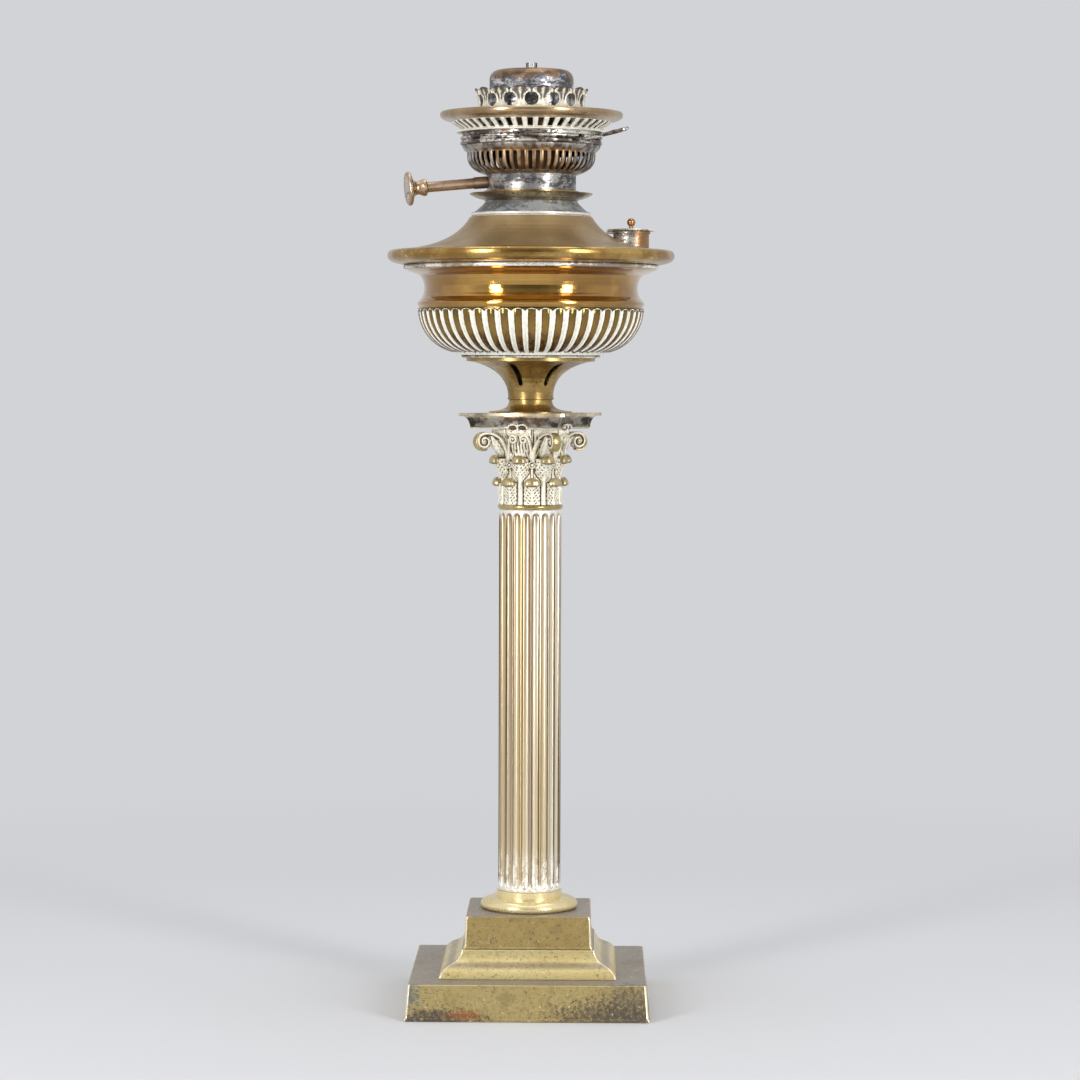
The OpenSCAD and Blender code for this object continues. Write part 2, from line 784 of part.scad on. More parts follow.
module font_bowl() {
    n = lobe_count * len(lobe_phase);
    m = lobe_count;
    outer_rows = bowl_rings + 2;
    inner_rings = [0, 2, 4, bowl_rings];
    points = concat(
        [for (i = [0:n - 1]) foot_point(i)],
        [for (k = [0:bowl_rings], i = [0:n - 1]) bowl_point(k, i)],
        [for (k = inner_rings, i = [0:m - 1]) bowl_inner_point(k, i)]
    );
    inner_first = outer_rows * n;
    steps = len(lobe_phase);
    function out_at(row, i) = row * n + i % n;
    function in_at(row, i) = inner_first + row * m + i % m;
    faces = concat(
        [for (row = [0:outer_rows - 2], i = [0:n - 1], half = [0, 1])
            half == 0
                ? [out_at(row, i), out_at(row + 1, i), out_at(row + 1, i + 1)]
                : [out_at(row, i), out_at(row + 1, i + 1), out_at(row, i + 1)]],
        [for (row = [0:len(inner_rings) - 2], i = [0:m - 1], half = [0, 1])
            half == 0
                ? [in_at(row, i), in_at(row + 1, i + 1), in_at(row + 1, i)]
                : [in_at(row, i), in_at(row, i + 1), in_at(row + 1, i + 1)]],
        [for (i = [0:m - 1]) concat(
            [for (s = [0:steps]) out_at(0, i * steps + s)], [in_at(0, i + 1), in_at(0, i)])],
        [for (i = [0:m - 1]) concat(
            [in_at(len(inner_rings) - 1, i), in_at(len(inner_rings) - 1, i + 1)],
            [for (s = [steps:-1:0]) out_at(outer_rows - 1, i * steps + s)])]
    );
    color("goldenrod") translate([0, 0, z_bowl]) polyhedron(points, faces);
}

function band_path() = concat(
    [[bowl_r - 0.6, 0]],
    arc([bowl_r - 1.6, 2.8], 2, -50, 60, 6),
    bezier([bowl_r - 1.2, band_h * 0.22], [bowl_r - 4.6, band_h * 0.34],
        [bowl_r - 4.8, band_h * 0.66], [bowl_r - 1.6, band_h * 0.82], 7),
    bezier([bowl_r - 0.2, band_h * 0.86], [bowl_r + 3, band_h * 0.9],
        [ring_r - 2.6, band_h * 0.95], [ring_r - 0.8, band_h], 4)
);

module font_band() {
    path = band_path();
    inner = reversed(beside(path, 1.2 * sheet_t));
    color("goldenrod") translate([0, 0, z_band]) turned(concat(
        path, [[ring_r - 5, band_h]], [for (p = inner) if (p[1] < band_h - 1.6) p]
    ));
}

module font_ring() {
    r = ring_h / 2;
    color("gainsboro") translate([0, 0, z_ring]) turned(concat(
        [[ring_r - 5, 0], [ring_r - r, 0]],
        arc([ring_r - r, r], r, -90, 90, 8),
        [[ring_r - 5, ring_h]]
    ));
}

function shoulder_path() = concat(
    [[ring_r - 3, 0], [ring_r + 1.2, 0.1]],
    bezier([ring_r + 3, 0.5], [rim_r - 2.2, 1.4], [rim_r, 3], [rim_r, 5.2], 5),
    bezier([rim_r, 5.8], [rim_r, 8], [rim_r - 1.4, 9.1], [rim_r - 4.5, 9.2], 5),
    bezier([rim_r - 9.3, 9.3], [filler_x - 0.5, 11.5], [collar_r + 8.6, 16], [collar_r + 0.6, shoulder_h], 12)
);

module font_shoulder() {
    color("darkgoldenrod") difference() {
        translate([0, 0, z_shoulder]) spun(shoulder_path(), sheet_t);
        filler_place() translate([0, 0, -10]) cylinder(r = filler_r + seat, h = 40, $fn = 48);
    }
}

module font_collar() {
    color("silver") translate([0, 0, z_collar]) turned(concat(
        [[collar_r - 3, -1.6], [collar_r - 1.4, -1.6], [collar_r - 1.4, 0], [collar_r - 0.6, 0]],
        arc([collar_r - 1.4, 1.5], 1.4, -60, 90, 6),
        bezier([collar_r - 2, 3], [collar_r - 4, 4.4], [throat_r + 2, 7.6], [throat_r + 0.8, collar_h], 5),
        [[throat_r - 2, collar_h], [throat_r - 2, collar_h - 2.5]],
        bezier([throat_r - 1.2, collar_h - 2.6], [throat_r, 6.4], [collar_r - 5, 3.4], [collar_r - 3, 1.8], 5)
    ));
}

module draught_tube() {
    flange_r = draught_outer_r + 3;
    color("darkgoldenrod") turned([
        [draught_r, z_bowl - 0.8], [flange_r, z_bowl - 0.8], [flange_r, z_bowl],
        [draught_outer_r, z_bowl], [draught_outer_r, z_wick_top], [draught_r, z_wick_top]
    ]);
}

// Filler

filler_turn = 5;
hinge_r = 1.5;
hinge_x = -(lid_r - 1.3);
hinge_z = -0.1;
z_lid = z_shoulder + filler_top_h;

module filler_place() {
    rotate([0, 0, filler_turn]) translate([filler_x, 0, z_shoulder]) children();
}

module lid_place() {
    rotate([0, 0, filler_turn]) translate([filler_x, 0, z_lid]) children();
}

lid_gap = 0.3;
knuckle_w = 2.4;

// A knuckle of the hinge between y0 and y1.
module knuckle(y0, y1, bore) {
    translate([hinge_x, y1, hinge_z]) rotate([90, 0, 0]) difference() {
        cylinder(r = hinge_r, h = y1 - y0, $fn = small_fn);
        translate([0, 0, -through]) cylinder(r = bore, h = y1 - y0 + 2 * through, $fn = small_fn);
    }
}

module filler_neck() {
    drop = filler_top_h - 10.6;
    outer_y = knuckle_w / 2 + lid_gap;
    color("silver") lid_place() {
        difference() {
            union() {
                translate([0, 0, -lid_gap]) rotate([180, 0, 0]) cylinder(r = filler_r, h = drop, $fn = 48);
                translate([0, 0, -lid_gap - 1.4]) cylinder(r = filler_r + 0.8, h = 1.4, $fn = 48);
                for (side = [-1, 1])
                    translate([hinge_x, side * (outer_y + knuckle_w / 2) - knuckle_w / 2, hinge_z - hinge_r])
                        cube([-hinge_x - filler_r + 2, knuckle_w, hinge_z + hinge_r - lid_gap * 1.5]);
            }
            translate([0, 0, -drop - 3]) cylinder(r = filler_r - sheet_t, h = drop + 6, $fn = 48);
            for (side = [-1, 1])
                translate([hinge_x, side * (outer_y + knuckle_w / 2) - knuckle_w, hinge_z])
                    rotate([-90, 0, 0]) cylinder(r = hinge_r - 0.2, h = 2 * knuckle_w, $fn = small_fn);
        }
        for (side = [-1, 1])
            knuckle(side > 0 ? outer_y : -outer_y - knuckle_w, side > 0 ? outer_y + knuckle_w : -outer_y, lid_pin_r);
    }
}

module filler_lid() {
    rim = 1.1;
    color("silver") lid_place() difference() {
        union() {
            difference() {
                turned(concat(
                    [[0, 0]],
                    arc([lid_r - 0.6, 0.6], 0.6, -90, 90, 6),
                    [[lid_r - 1.8, 1.2], [lid_r - 3.2, rim - 0.2], [2.4, rim + 1.2], [1.2, rim + 1.3], [0, rim + 1.3]]
                ));
                for (side = [-1, 1])
                    translate([hinge_x, side * (knuckle_w + lid_gap), hinge_z]) {
                        rotate([90, 0, 0])
                            cylinder(r = hinge_r + lid_gap, h = knuckle_w + 2 * lid_gap, center = true, $fn = small_fn);
                        translate([-lid_r, -knuckle_w / 2 - lid_gap, -through])
                            cube([lid_r, knuckle_w + 2 * lid_gap, 4]);
                    }
            }
            translate([hinge_x, 0, hinge_z]) rotate([90, 0, 0])
                cylinder(r = hinge_r, h = knuckle_w, center = true, $fn = small_fn);
            translate([0, 0, -1.6]) tube(filler_r - sheet_t - 0.4, filler_r - sheet_t - 1.4, 0, 1.8);
        }
        translate([hinge_x, 0, hinge_z]) rotate([90, 0, 0])
            cylinder(r = lid_pin_r + running, h = 2 * knuckle_w, center = true, $fn = small_fn);
    }
}

module lid_ball() {
    stem = 0.9;
    color("peru") lid_place() translate([0, 0, 2.4]) turned(concat(
        [[0, 0], [1.2, 0]],
        arc([0, stem + lid_ball_r * 0.85], lid_ball_r, -58, 90, 10)
    ));
}

module lid_pin() {
    half = knuckle_w * 1.5 + lid_gap + 0.1;
    color("gray") lid_place() translate([hinge_x, half, hinge_z]) rotate([90, 0, 0])
        cylinder(r = lid_pin_r, h = 2 * half, $fn = small_fn);
}

// Burner

module burner_dish() {
    r = throat_r + 1.7;
    color("silver") translate([0, 0, z_dish]) turned(concat(
        [[throat_r - 2, 0], [throat_r + 0.6, 0]],
        bezier([throat_r + 2.2, 1.2], [dish_r - 4, 2], [dish_r - 1.5, 3.4], [dish_r - 0.3, 4.3], 5),
        [[dish_r, 4.7], [dish_r - 0.4, 5.1], [r + 2, dish_h - 1], [r, dish_h - 0.7], [r, dish_h],
         [throat_r - 2, dish_h]]
    ));
}

throat_wall = 1;
throat_floor = 0.9;
rack_notch_w = 8.6;

module burner_throat() {
    color("gray") translate([0, 0, z_throat]) difference() {
        turned([
            [wick_tube_outer_r + seat, 0], [throat_r, 0], [throat_r, throat_h],
            [throat_r - throat_wall, throat_h], [throat_r - throat_wall, throat_floor],
            [wick_tube_outer_r + seat, throat_floor]
        ]);
        rotate([0, 0, winder_turn]) {
            translate([wick_tube_outer_r - 1, -1, -through])
                cube([throat_r - throat_wall - wick_tube_outer_r - 0.6, rack_notch_w, 3 * through]);
        }
        translate([0, 0, -z_throat]) winder_place()
            translate([throat_r - 4, 0, 0]) rotate([0, 90, 0])
                cylinder(r = winder_tube_r + seat, h = 8, $fn = small_fn);
    }
}

function basket_path() = concat(
    [[throat_r, 0]],
    bezier([throat_r + 1.4, 0.3], [basket_r - 1, 3.6], [basket_r, 8], [basket_r, basket_h * 0.72], 5),
    bezier([basket_r + 0.4, basket_h * 0.78], [basket_r + 2.4, basket_h * 0.84],
        [burner_rim_r - 1.2, basket_h * 0.9], [burner_rim_r - 1, basket_h], 3)
);

basket_slot_w = 2.1;

module burner_basket() {
    color("dimgray") translate([0, 0, z_basket]) difference() {
        spun(basket_path(), sheet_t);
        around(basket_slots)
            translate([throat_r + 5.8, -basket_slot_w / 2, 1.6])
                cube([basket_r, basket_slot_w, basket_h * 0.6]);
    }
}

function rim_path() = concat(
    [[burner_rim_r - 2, 0]],
    arc([burner_rim_r - 1.5, 1.6], 1.5, -80, 80, 6),
    [[burner_rim_r - 1.4, 3.3]],
    arc([burner_rim_r - 1.2, 4.6], 1.1, -70, 70, 5),
    [[burner_rim_r - 1.6, 6], [burner_rim_r - 1.6, burner_rim_h]]
);

lever_z = 2;
lever_t = 1.6;
lever_w = 4;
lever_pivot_r = burner_rim_r - 1;

lug_t = 1.4;
lug_r = 1.9;

module burner_rim() {
    color("silver") difference() {
        union() {
            difference() {
                translate([0, 0, z_rim]) spun(rim_path(), sheet_t);
                lever_place() translate([-6, -lever_w / 2 - free_gap, -6])
                    cube([12, lever_w + 2 * free_gap, 9.6]);
            }
            lever_place() for (side = [-1, 1])
                translate([0, side * (lever_w / 2 + free_gap + lug_t / 2), 0]) rotate([90, 0, 0]) {
                    cylinder(r = lug_r, h = lug_t, center = true, $fn = small_fn);
                    translate([-1.2, 0, 0]) cube([2.4, 3, lug_t], center = true);
                }
        }
        lever_place() rotate([90, 0, 0])
            cylinder(r = lever_pin_r + seat, h = 4 * lever_w, center = true, $fn = small_fn);
    }
}

z_wick_tube_bottom = z_dish - 16.6;
stop_h = 2.2;
z_sleeve = z_rim + 1;

module wick_tube() {
    stop_r = wick_tube_outer_r + 2.2;
    color("darkgoldenrod") turned([
        [wick_tube_inner_r, z_wick_tube_bottom], [wick_tube_outer_r, z_wick_tube_bottom],
        [wick_tube_outer_r, z_sleeve - free_gap - stop_h], [stop_r, z_sleeve - free_gap - stop_h + 1],
        [stop_r, z_sleeve - free_gap], [wick_tube_outer_r, z_sleeve - free_gap],
        [wick_tube_outer_r, z_wick_top], [wick_tube_inner_r, z_wick_top]
    ]);
}

z_carrier = z_wick_tube_bottom - 14;
carrier_h = 5;
wick_tail = 50;
wick_proud = 0.6;

module wick() {
    color("antiquewhite") tube(wick_outer_r, wick_inner_r, z_carrier - wick_tail, z_wick_top + wick_proud);
}

rack_depth = 3;
rack_inner = wick_tube_outer_r + 0.7;
rack_back = 2.2;
pinion_r = pinion_module * pinion_teeth / 2;
rack_pitch = PI * pinion_module;
tooth_above = pinion_module * 0.95;
tooth_below = pinion_module * 1.2;
backlash = 0.16;
wick_up = 6;
wick_down = 10;

module wick_carrier() {
    flange_h = 2;
    color("gray") turned([
        [wick_outer_r + seat, z_carrier], [rack_inner + rack_depth + 0.5, z_carrier],
        [rack_inner + rack_depth + 0.5, z_carrier + flange_h], [wick_outer_r + 1.4, z_carrier + flange_h],
        [wick_outer_r + 1.4, z_carrier + carrier_h], [wick_outer_r + seat, z_carrier + carrier_h]
    ]);
}

// Rack teeth are drawn in the plane square to the pinion's axis.
module rack_profile(n_up, n_down) {
    face = tooth_above * tan(20);
    root = tooth_below * tan(20);
    half = rack_pitch / 4 - backlash / 2;
    for (i = [-n_down:n_up])
        translate([0, i * rack_pitch]) polygon([
            [-tooth_above, -half + face], [-tooth_above, half - face],
            [tooth_below + 0.1, half + root], [tooth_below + 0.1, -half - root]
        ]);
    translate([tooth_below, -(n_down + 0.5) * rack_pitch]) square([rack_back, (n_up + n_down + 1) * rack_pitch]);
}

module wick_rack() {
    n_up = 5;
    n_down = 4;
    bar_top = z_winder(rack_inner + rack_depth / 2) - (n_down - 1) * rack_pitch;
    color("gray") intersection() {
        union() {
            winder_place() translate([rack_inner - 2, pinion_r, 0])
                rotate([90, 0, 90]) linear_extrude(rack_depth + 4) rack_profile(n_up, n_down);
            rotate([0, 0, winder_turn])
                translate([rack_inner - 1, pinion_r + tooth_below + 0.2, z_carrier])
                    cube([rack_depth + 2, rack_back - 0.4, bar_top - z_carrier]);
        }
        rotate([0, 0, winder_turn]) translate([rack_inner, -20, z_carrier + 2])
            cube([rack_depth, 40, 100]);
    }
}

// Wick winder. Its own X axis points outwards and down along the spindle.
z_winder_axis = z_throat + throat_h * 0.53 + throat_r * tan(winder_slope);

function z_winder(x) = z_winder_axis - x * tan(winder_slope);

module winder_place() {
    rotate([0, 0, winder_turn]) translate([0, 0, z_winder_axis]) rotate([0, winder_slope, 0]) children();
}

module along(x0, x1, r) {
    translate([x0, 0, 0]) rotate([0, 90, 0]) cylinder(r = r, h = x1 - x0, $fn = small_fn);
}

module winder_tube() {
    inner = throat_r - throat_wall - 1.4;
    collar_r = winder_tube_r + 0.5;
    collar_x = throat_r + collar_r * sin(winder_slope) + free_gap;
    color("peru") winder_place() difference() {
        union() {
            along(inner, winder_reach, winder_tube_r);
            along(collar_x, throat_r + 8.6, collar_r);
        }
        along(inner - through, winder_reach + through, spindle_r + running);
    }
}

knob_x = winder_reach + free_gap;
knob_seat = 9;

module winder_spindle() {
    color("gray") winder_place() along(pinion_x, knob_x + knob_seat, spindle_r);
}

// Involute flank of the pinion, from the base circle to the tips.
function involute(base_r, t) = base_r * [cos(t) + t * PI / 180 * sin(t), sin(t) - t * PI / 180 * cos(t)];
pressure = 20;
base_r = pinion_r * cos(pressure);
tip_r = pinion_r + tooth_above;
root_r = pinion_r - tooth_below;
pinion_x = wick_tube_outer_r + free_gap + tip_r * sin(winder_slope);
pinion_w = rack_depth + 0.2;

function roll_to(r) = sqrt(r * r / base_r / base_r - 1) * 180 / PI;
function turned_by(p, a) = [p[0] * cos(a) - p[1] * sin(a), p[0] * sin(a) + p[1] * cos(a)];

// Half of one tooth, its centre line on X.
function flank() =
    let (
        at_pitch = involute(base_r, roll_to(pinion_r)),
        pitch_angle = atan2(at_pitch[1], at_pitch[0]),
        half_angle = 90 / pinion_teeth - backlash / 2 / pinion_r * 180 / PI,
        last = roll_to(tip_r)
    ) [for (i = [0:4]) turned_by(involute(base_r, last * i / 4), -half_angle - pitch_angle)];

module winder_pinion() {
    side = flank();
    root_half = atan2(side[0][1], side[0][0]);
    color("darkgoldenrod") winder_place() translate([pinion_x, 0, 0]) rotate([90, 0, 90])
        difference() {
            linear_extrude(pinion_w) polygon([
                for (k = [0:pinion_teeth - 1])
                    each [for (p = concat(
                        [root_r * [cos(root_half), sin(root_half)]], side,
                        [for (q = reversed(side)) [q[0], -q[1]]],
                        [root_r * [cos(root_half), -sin(root_half)]]
                    )) turned_by(p, (k + 0.5) * 360 / pinion_teeth)]
            ]);
            translate([0, 0, -through]) cylinder(r = spindle_r + 0.01, h = pinion_w + 2 * through, $fn = small_fn);
        }
}

module winder_knob() {
    waist = knob_r * 0.38;
    hub = knob_r * 0.5;
    rim_x = knob_x + 10.2;
    color("peru") winder_place() translate([knob_x, 0, 0]) rotate([0, 90, 0])
        rotate_extrude($fn = 64) polygon(concat(
            [[spindle_r + 0.01, 0], [hub - 0.8, 0], [hub, 0.8], [hub, 2.2], [waist + 0.4, 4.4]],
            bezier([waist, 5.6], [waist, 7.6], [waist + 2, 9], [knob_r - 1.6, 9.6], 6),
            arc([knob_r - 1.5, 11.2], 1.5, -80, 90, 7),
            bezier([knob_r - 2, 12.6], [knob_r - 3, 12.2], [knob_r * 0.4, 11], [0, 10.9], 5),
            [[0, knob_seat + 0.4], [spindle_r + 0.01, knob_seat + 0.4]]
        ));
}

// Extinguisher: a sleeve round the wick tube, lifted by a lever.
sleeve_flange_r = lever_inner + 2.6;
sleeve_t = 1.2;

module snuffer_sleeve() {
    color("darkgoldenrod") turned([
        [sleeve_inner_r, z_sleeve], [sleeve_flange_r, z_sleeve], [sleeve_flange_r, z_sleeve + sleeve_t],
        [sleeve_outer_r, z_sleeve + sleeve_t], [sleeve_outer_r, z_wick_top - 1.4],
        [sleeve_inner_r, z_wick_top - 1.4]
    ]);
}

z_lever = z_rim + lever_z;

module lever_place() {
    rotate([0, 0, lever_turn]) translate([lever_pivot_r, 0, z_lever]) children();
}

loop_l = 19;
loop_w = 10;
lever_pin_r = 0.8;
lever_roll = 18;

module snuffer_lever() {
    outer = lever_reach - lever_pivot_r;
    inner = lever_pivot_r - lever_inner;
    nose_r = 1;
    nose_z = z_sleeve - free_gap - z_lever - nose_r;
    color("silver") lever_place() {
        difference() {
            union() {
                rotate([90, 0, 0]) cylinder(r = 1.9, h = lever_w, center = true, $fn = small_fn);
                rotate([0, -lever_slope, 0]) translate([0, -1.5, -lever_t / 2])
                    cube([outer - loop_l + 1.6, 3, lever_t]);
                translate([-inner, 0, 0]) lever_inner_arm(inner, nose_z, nose_r);
            }
            rotate([90, 0, 0]) cylinder(r = lever_pin_r + running, h = 2 * lever_w, center = true, $fn = small_fn);
        }
        rotate([0, -lever_slope, 0]) translate([outer - loop_l / 2, 0, 0]) rotate([lever_roll, 0, 0])
            finger_loop();
    }
}

// Straight bar from the pivot to the nose under the sleeve's flange.
module lever_inner_arm(inner, nose_z, nose_r) {
    rotate([90, 0, 0]) linear_extrude(3, center = true) polygon([
        [0, nose_z - 0.8], [0, nose_z + 0.6], [inner, 1], [inner, -1]
    ]);
    translate([0, 0, nose_z]) rotate([90, 0, 0]) cylinder(r = nose_r, h = 3, center = true, $fn = small_fn);
}

module finger_loop() {
    ring = 2.6;
    straight = loop_l - loop_w;
    difference() {
        union() {
            translate([-straight / 2, 0, 0]) cylinder(r = loop_w / 2, h = lever_t, center = true, $fn = 48);
            translate([straight / 2, 0, 0]) cylinder(r = loop_w / 2, h = lever_t, center = true, $fn = 48);
            cube([straight, loop_w, lever_t], center = true);
        }
        translate([-straight / 2, 0, 0]) cylinder(r = loop_w / 2 - ring, h = 3 * lever_t, center = true, $fn = 48);
        translate([straight / 2, 0, 0]) cylinder(r = loop_w / 2 - ring, h = 3 * lever_t, center = true, $fn = 48);
        cube([straight, loop_w - 2 * ring, 3 * lever_t], center = true);
    }
}

module lever_pin() {
    color("gray") lever_place() rotate([90, 0, 0])
        cylinder(r = lever_pin_r, h = lever_w + 2 * (free_gap + lug_t + free_gap), center = true, $fn = small_fn);
}

// Gallery: pierced band, rolled rim, chimney crown and dome lift off together.
band_in_r = burner_rim_r - 2.2;
band_low_r = 43.2;
band_high_r = gallery_r - 7;
band_h_outer = 6.6;

module gallery_band() {
    path = concat(
        [[band_in_r - 1.6, 0], [burner_rim_r + 2.4, 0], [burner_rim_r + 3, 0.5], [burner_rim_r + 2.4, 1], [band_low_r, 1.1]],
        bezier([band_low_r, 1.6], [band_low_r + 1, 3.2], [band_high_r - 2, 4.6], [band_high_r, band_h_outer], 4)
    );
    low = len(path);
    inner = [[band_high_r - 1.4, band_h_outer + 0.3], [band_low_r - 1, 2.2], [band_in_r - 1.6, 0.9]];
    color("ivory") translate([0, 0, z_gallery]) difference() {
        turned(concat(path, inner));
        around(gallery_slots)
            translate([band_low_r - 2, -0.9, 2.1]) cube([8, 1.8, 3.4]);
    }
}

// The rolled rim with the dished floor that the shade's ring stands on.
module gallery_rim() {
    top = gallery_h;
    color("darkgoldenrod") translate([0, 0, z_gallery]) turned(concat(
        [[crown_r - 5.4, 7], [band_high_r - 6, 7], [band_high_r - 1.4, band_h_outer + 0.35], [band_high_r + 0.4, band_h_outer + 0.1]],
        bezier([band_high_r + 2, band_h_outer + 0.5], [gallery_r - 2, band_h_outer + 1.4],
            [gallery_r, top - 4], [gallery_r, top - 2.2], 5),
        arc([gallery_r - 1.6, top - 1.6], 1.6, 0, 150, 7),
        [[gallery_r - 3.2, top - 2.4], [gallery_r - 5.2, top - 3.4], [gallery_r - 5.2, top - 4.6],
         [crown_r + free_gap, top - 4.6], [crown_r - crown_t - free_gap, top - 4.6], [crown_r - 5.4, top - 4.6]]
    ));
}

crown_t = 0.7;
crown_floor_h = 8.4;
crown_first = 7;
crown_hole_z = 19.7;

module chimney_crown() {
    slit = 1.2;
    color("ivory") translate([0, 0, z_gallery]) difference() {
        turned(concat(
            [[crown_r - crown_t, crown_floor_h], [crown_r, crown_floor_h], [crown_r, crown_tip_h - 4]],
            arc([crown_r + 3.2, crown_tip_h - 4], 3.2, 180, 110, 5),
            [[crown_r + 2.6, crown_tip_h - 0.2]],
            reversed(arc([crown_r + 3.2, crown_tip_h - 4], 3.2 + crown_t, 180, 104, 5))
        ));
        around(crown_count, crown_first) {
            translate([crown_r - 4, 0, crown_hole_z]) rotate([0, 90, 0])
                cylinder(r = crown_hole_d / 2, h = 9, $fn = small_fn);
            translate([crown_r - 4, -slit / 2, crown_hole_z]) cube([12, slit, 20]);
        }
    }
}

dome_t = 0.8;

module draught_dome() {
    corner = 6;
    color("saddlebrown") translate([0, 0, z_gallery]) turned(concat(
        [[dome_r - dome_t, crown_floor_h - 1.4]],
        [[crown_r - 5.4 - seat, crown_floor_h - 1.4], [crown_r - 5.4 - seat, crown_floor_h],
         [dome_r + 0.4, crown_floor_h + 1]],
        [[dome_r, crown_floor_h + 1.6], [dome_r, dome_h - corner]],
        arc([dome_r - corner, dome_h - corner], corner, 8, 84, 7),
        [[dome_mouth_r, dome_h]],
        [[dome_mouth_r, dome_h - dome_t]],
        arc([dome_r - corner, dome_h - corner], corner - dome_t, 84, 8, 7)
    ));
}

// Flame spreader: a pierced thimble that stands in the draught tube.
spreader_r = draught_r - 0.1;
spreader_ledge = 0.9;
spreader_hole_d = 2;
z_spreader_top = z_wick_top + 5;

module flame_spreader() {
    rows = 3;
    color("dimgray") difference() {
        turned([
            [spreader_r - 0.8, z_wick_top - 14], [spreader_r, z_wick_top - 14],
            [spreader_r, z_wick_top + free_gap], [draught_outer_r - 0.1, z_wick_top + free_gap],
            [draught_outer_r - 0.1, z_wick_top + 1.1], [spreader_r - 0.6, z_wick_top + 1.4],
            [spreader_r - 0.6, z_spreader_top - 1], [spreader_r - 1.4, z_spreader_top],
            [0, z_spreader_top + 0.4], [0, z_spreader_top - 0.6], [spreader_r - 1.8, z_spreader_top - 1],
            [spreader_r - 1.5, z_wick_top]
        ]);
        for (row = [0:rows - 1])
            translate([0, 0, z_wick_top - 11 + row * 3.6])
                around(8, row * 22.5) rotate([0, 90, 0]) cylinder(r = spreader_hole_d / 2, h = 20, $fn = small_fn);
    }
}

button_r = 3.5;
button_h = 4.6;
button_slots = 3;

module spreader_button() {
    z0 = z_spreader_top + 0.45;
    z1 = z_gallery + dome_h + button_h;
    color("gray") difference() {
        turned([[0, z0], [button_r + 0.8, z0], [button_r + 0.8, z0 + 0.8], [button_r, z0 + 1], [button_r, z1], [0, z1]]);
        translate([0, 0, z1 - button_h * 0.7]) cylinder(r = button_r - 1.1, h = button_h, $fn = small_fn);
        for (k = [0:button_slots - 1]) rotate([0, 0, 30 + k * 180 / button_slots])
            translate([-button_r * 2, -0.6, z1 - button_h * 0.7]) cube([button_r * 4, 1.2, button_h]);
    }
}

base_slab();
base_ogee();
base_block();
base_weight();
tie_rod();
tie_nuts();
tie_washers();
column_foot();
column();
column_neck();
capital();
lower_leaves();
upper_leaves();
abacus();
font_foot();
font_pedestal();
font_base_ring();
font_floor();
font_bowl();
font_band();
font_ring();
font_shoulder();
font_collar();
draught_tube();
filler_neck();
filler_lid();
lid_ball();
lid_pin();
burner_dish();
burner_throat();
burner_basket();
burner_rim();
wick_tube();
wick();
wick_carrier();
wick_rack();
winder_tube();
winder_spindle();
winder_pinion();
winder_knob();
snuffer_sleeve();
snuffer_lever();
lever_pin();
gallery_band();
gallery_rim();
chimney_crown();
draught_dome();
flame_spreader();
spreader_button();
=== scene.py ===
"""Looks of the column oil lamp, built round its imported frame. Lengths are in metres."""
import math
from math import cos, pi, radians, sin

import bmesh
import bpy
import numpy as np
from mathutils import Matrix, Vector


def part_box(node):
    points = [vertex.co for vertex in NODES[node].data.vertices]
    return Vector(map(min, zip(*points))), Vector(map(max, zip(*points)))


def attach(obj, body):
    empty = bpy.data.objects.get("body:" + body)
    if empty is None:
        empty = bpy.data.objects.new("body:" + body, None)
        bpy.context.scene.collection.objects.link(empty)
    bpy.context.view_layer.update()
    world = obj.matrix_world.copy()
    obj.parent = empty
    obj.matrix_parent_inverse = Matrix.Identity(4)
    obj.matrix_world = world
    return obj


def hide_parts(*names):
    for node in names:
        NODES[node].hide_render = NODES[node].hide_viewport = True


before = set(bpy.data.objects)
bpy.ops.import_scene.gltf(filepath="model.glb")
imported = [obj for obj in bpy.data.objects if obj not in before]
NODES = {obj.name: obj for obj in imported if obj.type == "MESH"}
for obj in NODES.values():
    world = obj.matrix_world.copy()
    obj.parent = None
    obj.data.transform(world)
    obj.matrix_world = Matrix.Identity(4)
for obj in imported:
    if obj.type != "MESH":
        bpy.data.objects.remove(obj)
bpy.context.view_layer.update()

MM = 0.001


def low(node):
    """A node's lowest corner at rest."""
    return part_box(node)[0]


def high(node):
    """A node's highest corner at rest."""
    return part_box(node)[1]


# Camera, fitted to the photograph: a long lens in front of the lamp, tipped slightly down.
CAMERA_REACH = 2.1517
CAMERA_HEIGHT = 0.4012
CAMERA_AZIMUTH = radians(0.965)
CAMERA_YAW = radians(-0.163)
CAMERA_PITCH = radians(2.96)
CAMERA_ROLL = radians(0.18)
CAMERA_LENS_MM = 114.9
SENSOR_MM = 36.0


def make_camera():
    data = bpy.data.cameras.new("camera")
    data.lens, data.sensor_width = CAMERA_LENS_MM, SENSOR_MM
    data.clip_start, data.clip_end = 0.05, 30
    camera = bpy.data.objects.new("camera", data)
    bpy.context.scene.collection.objects.link(camera)
    right = Vector((cos(CAMERA_YAW), sin(CAMERA_YAW), 0))
    ahead = Vector((-sin(CAMERA_YAW), cos(CAMERA_YAW), 0))
    forward = ahead * cos(CAMERA_PITCH) - Vector((0, 0, sin(CAMERA_PITCH)))
    up = right.cross(forward)
    rolled_right = right * cos(CAMERA_ROLL) + up * sin(CAMERA_ROLL)
    rolled_up = up * cos(CAMERA_ROLL) - right * sin(CAMERA_ROLL)
    place = Matrix((rolled_right, rolled_up, -forward)).transposed().to_4x4()
    place.translation = Vector((0, -CAMERA_REACH, CAMERA_HEIGHT))
    camera.matrix_world = Matrix.Rotation(CAMERA_AZIMUTH, 4, "Z") @ place
    bpy.context.scene.camera = camera


# Materials

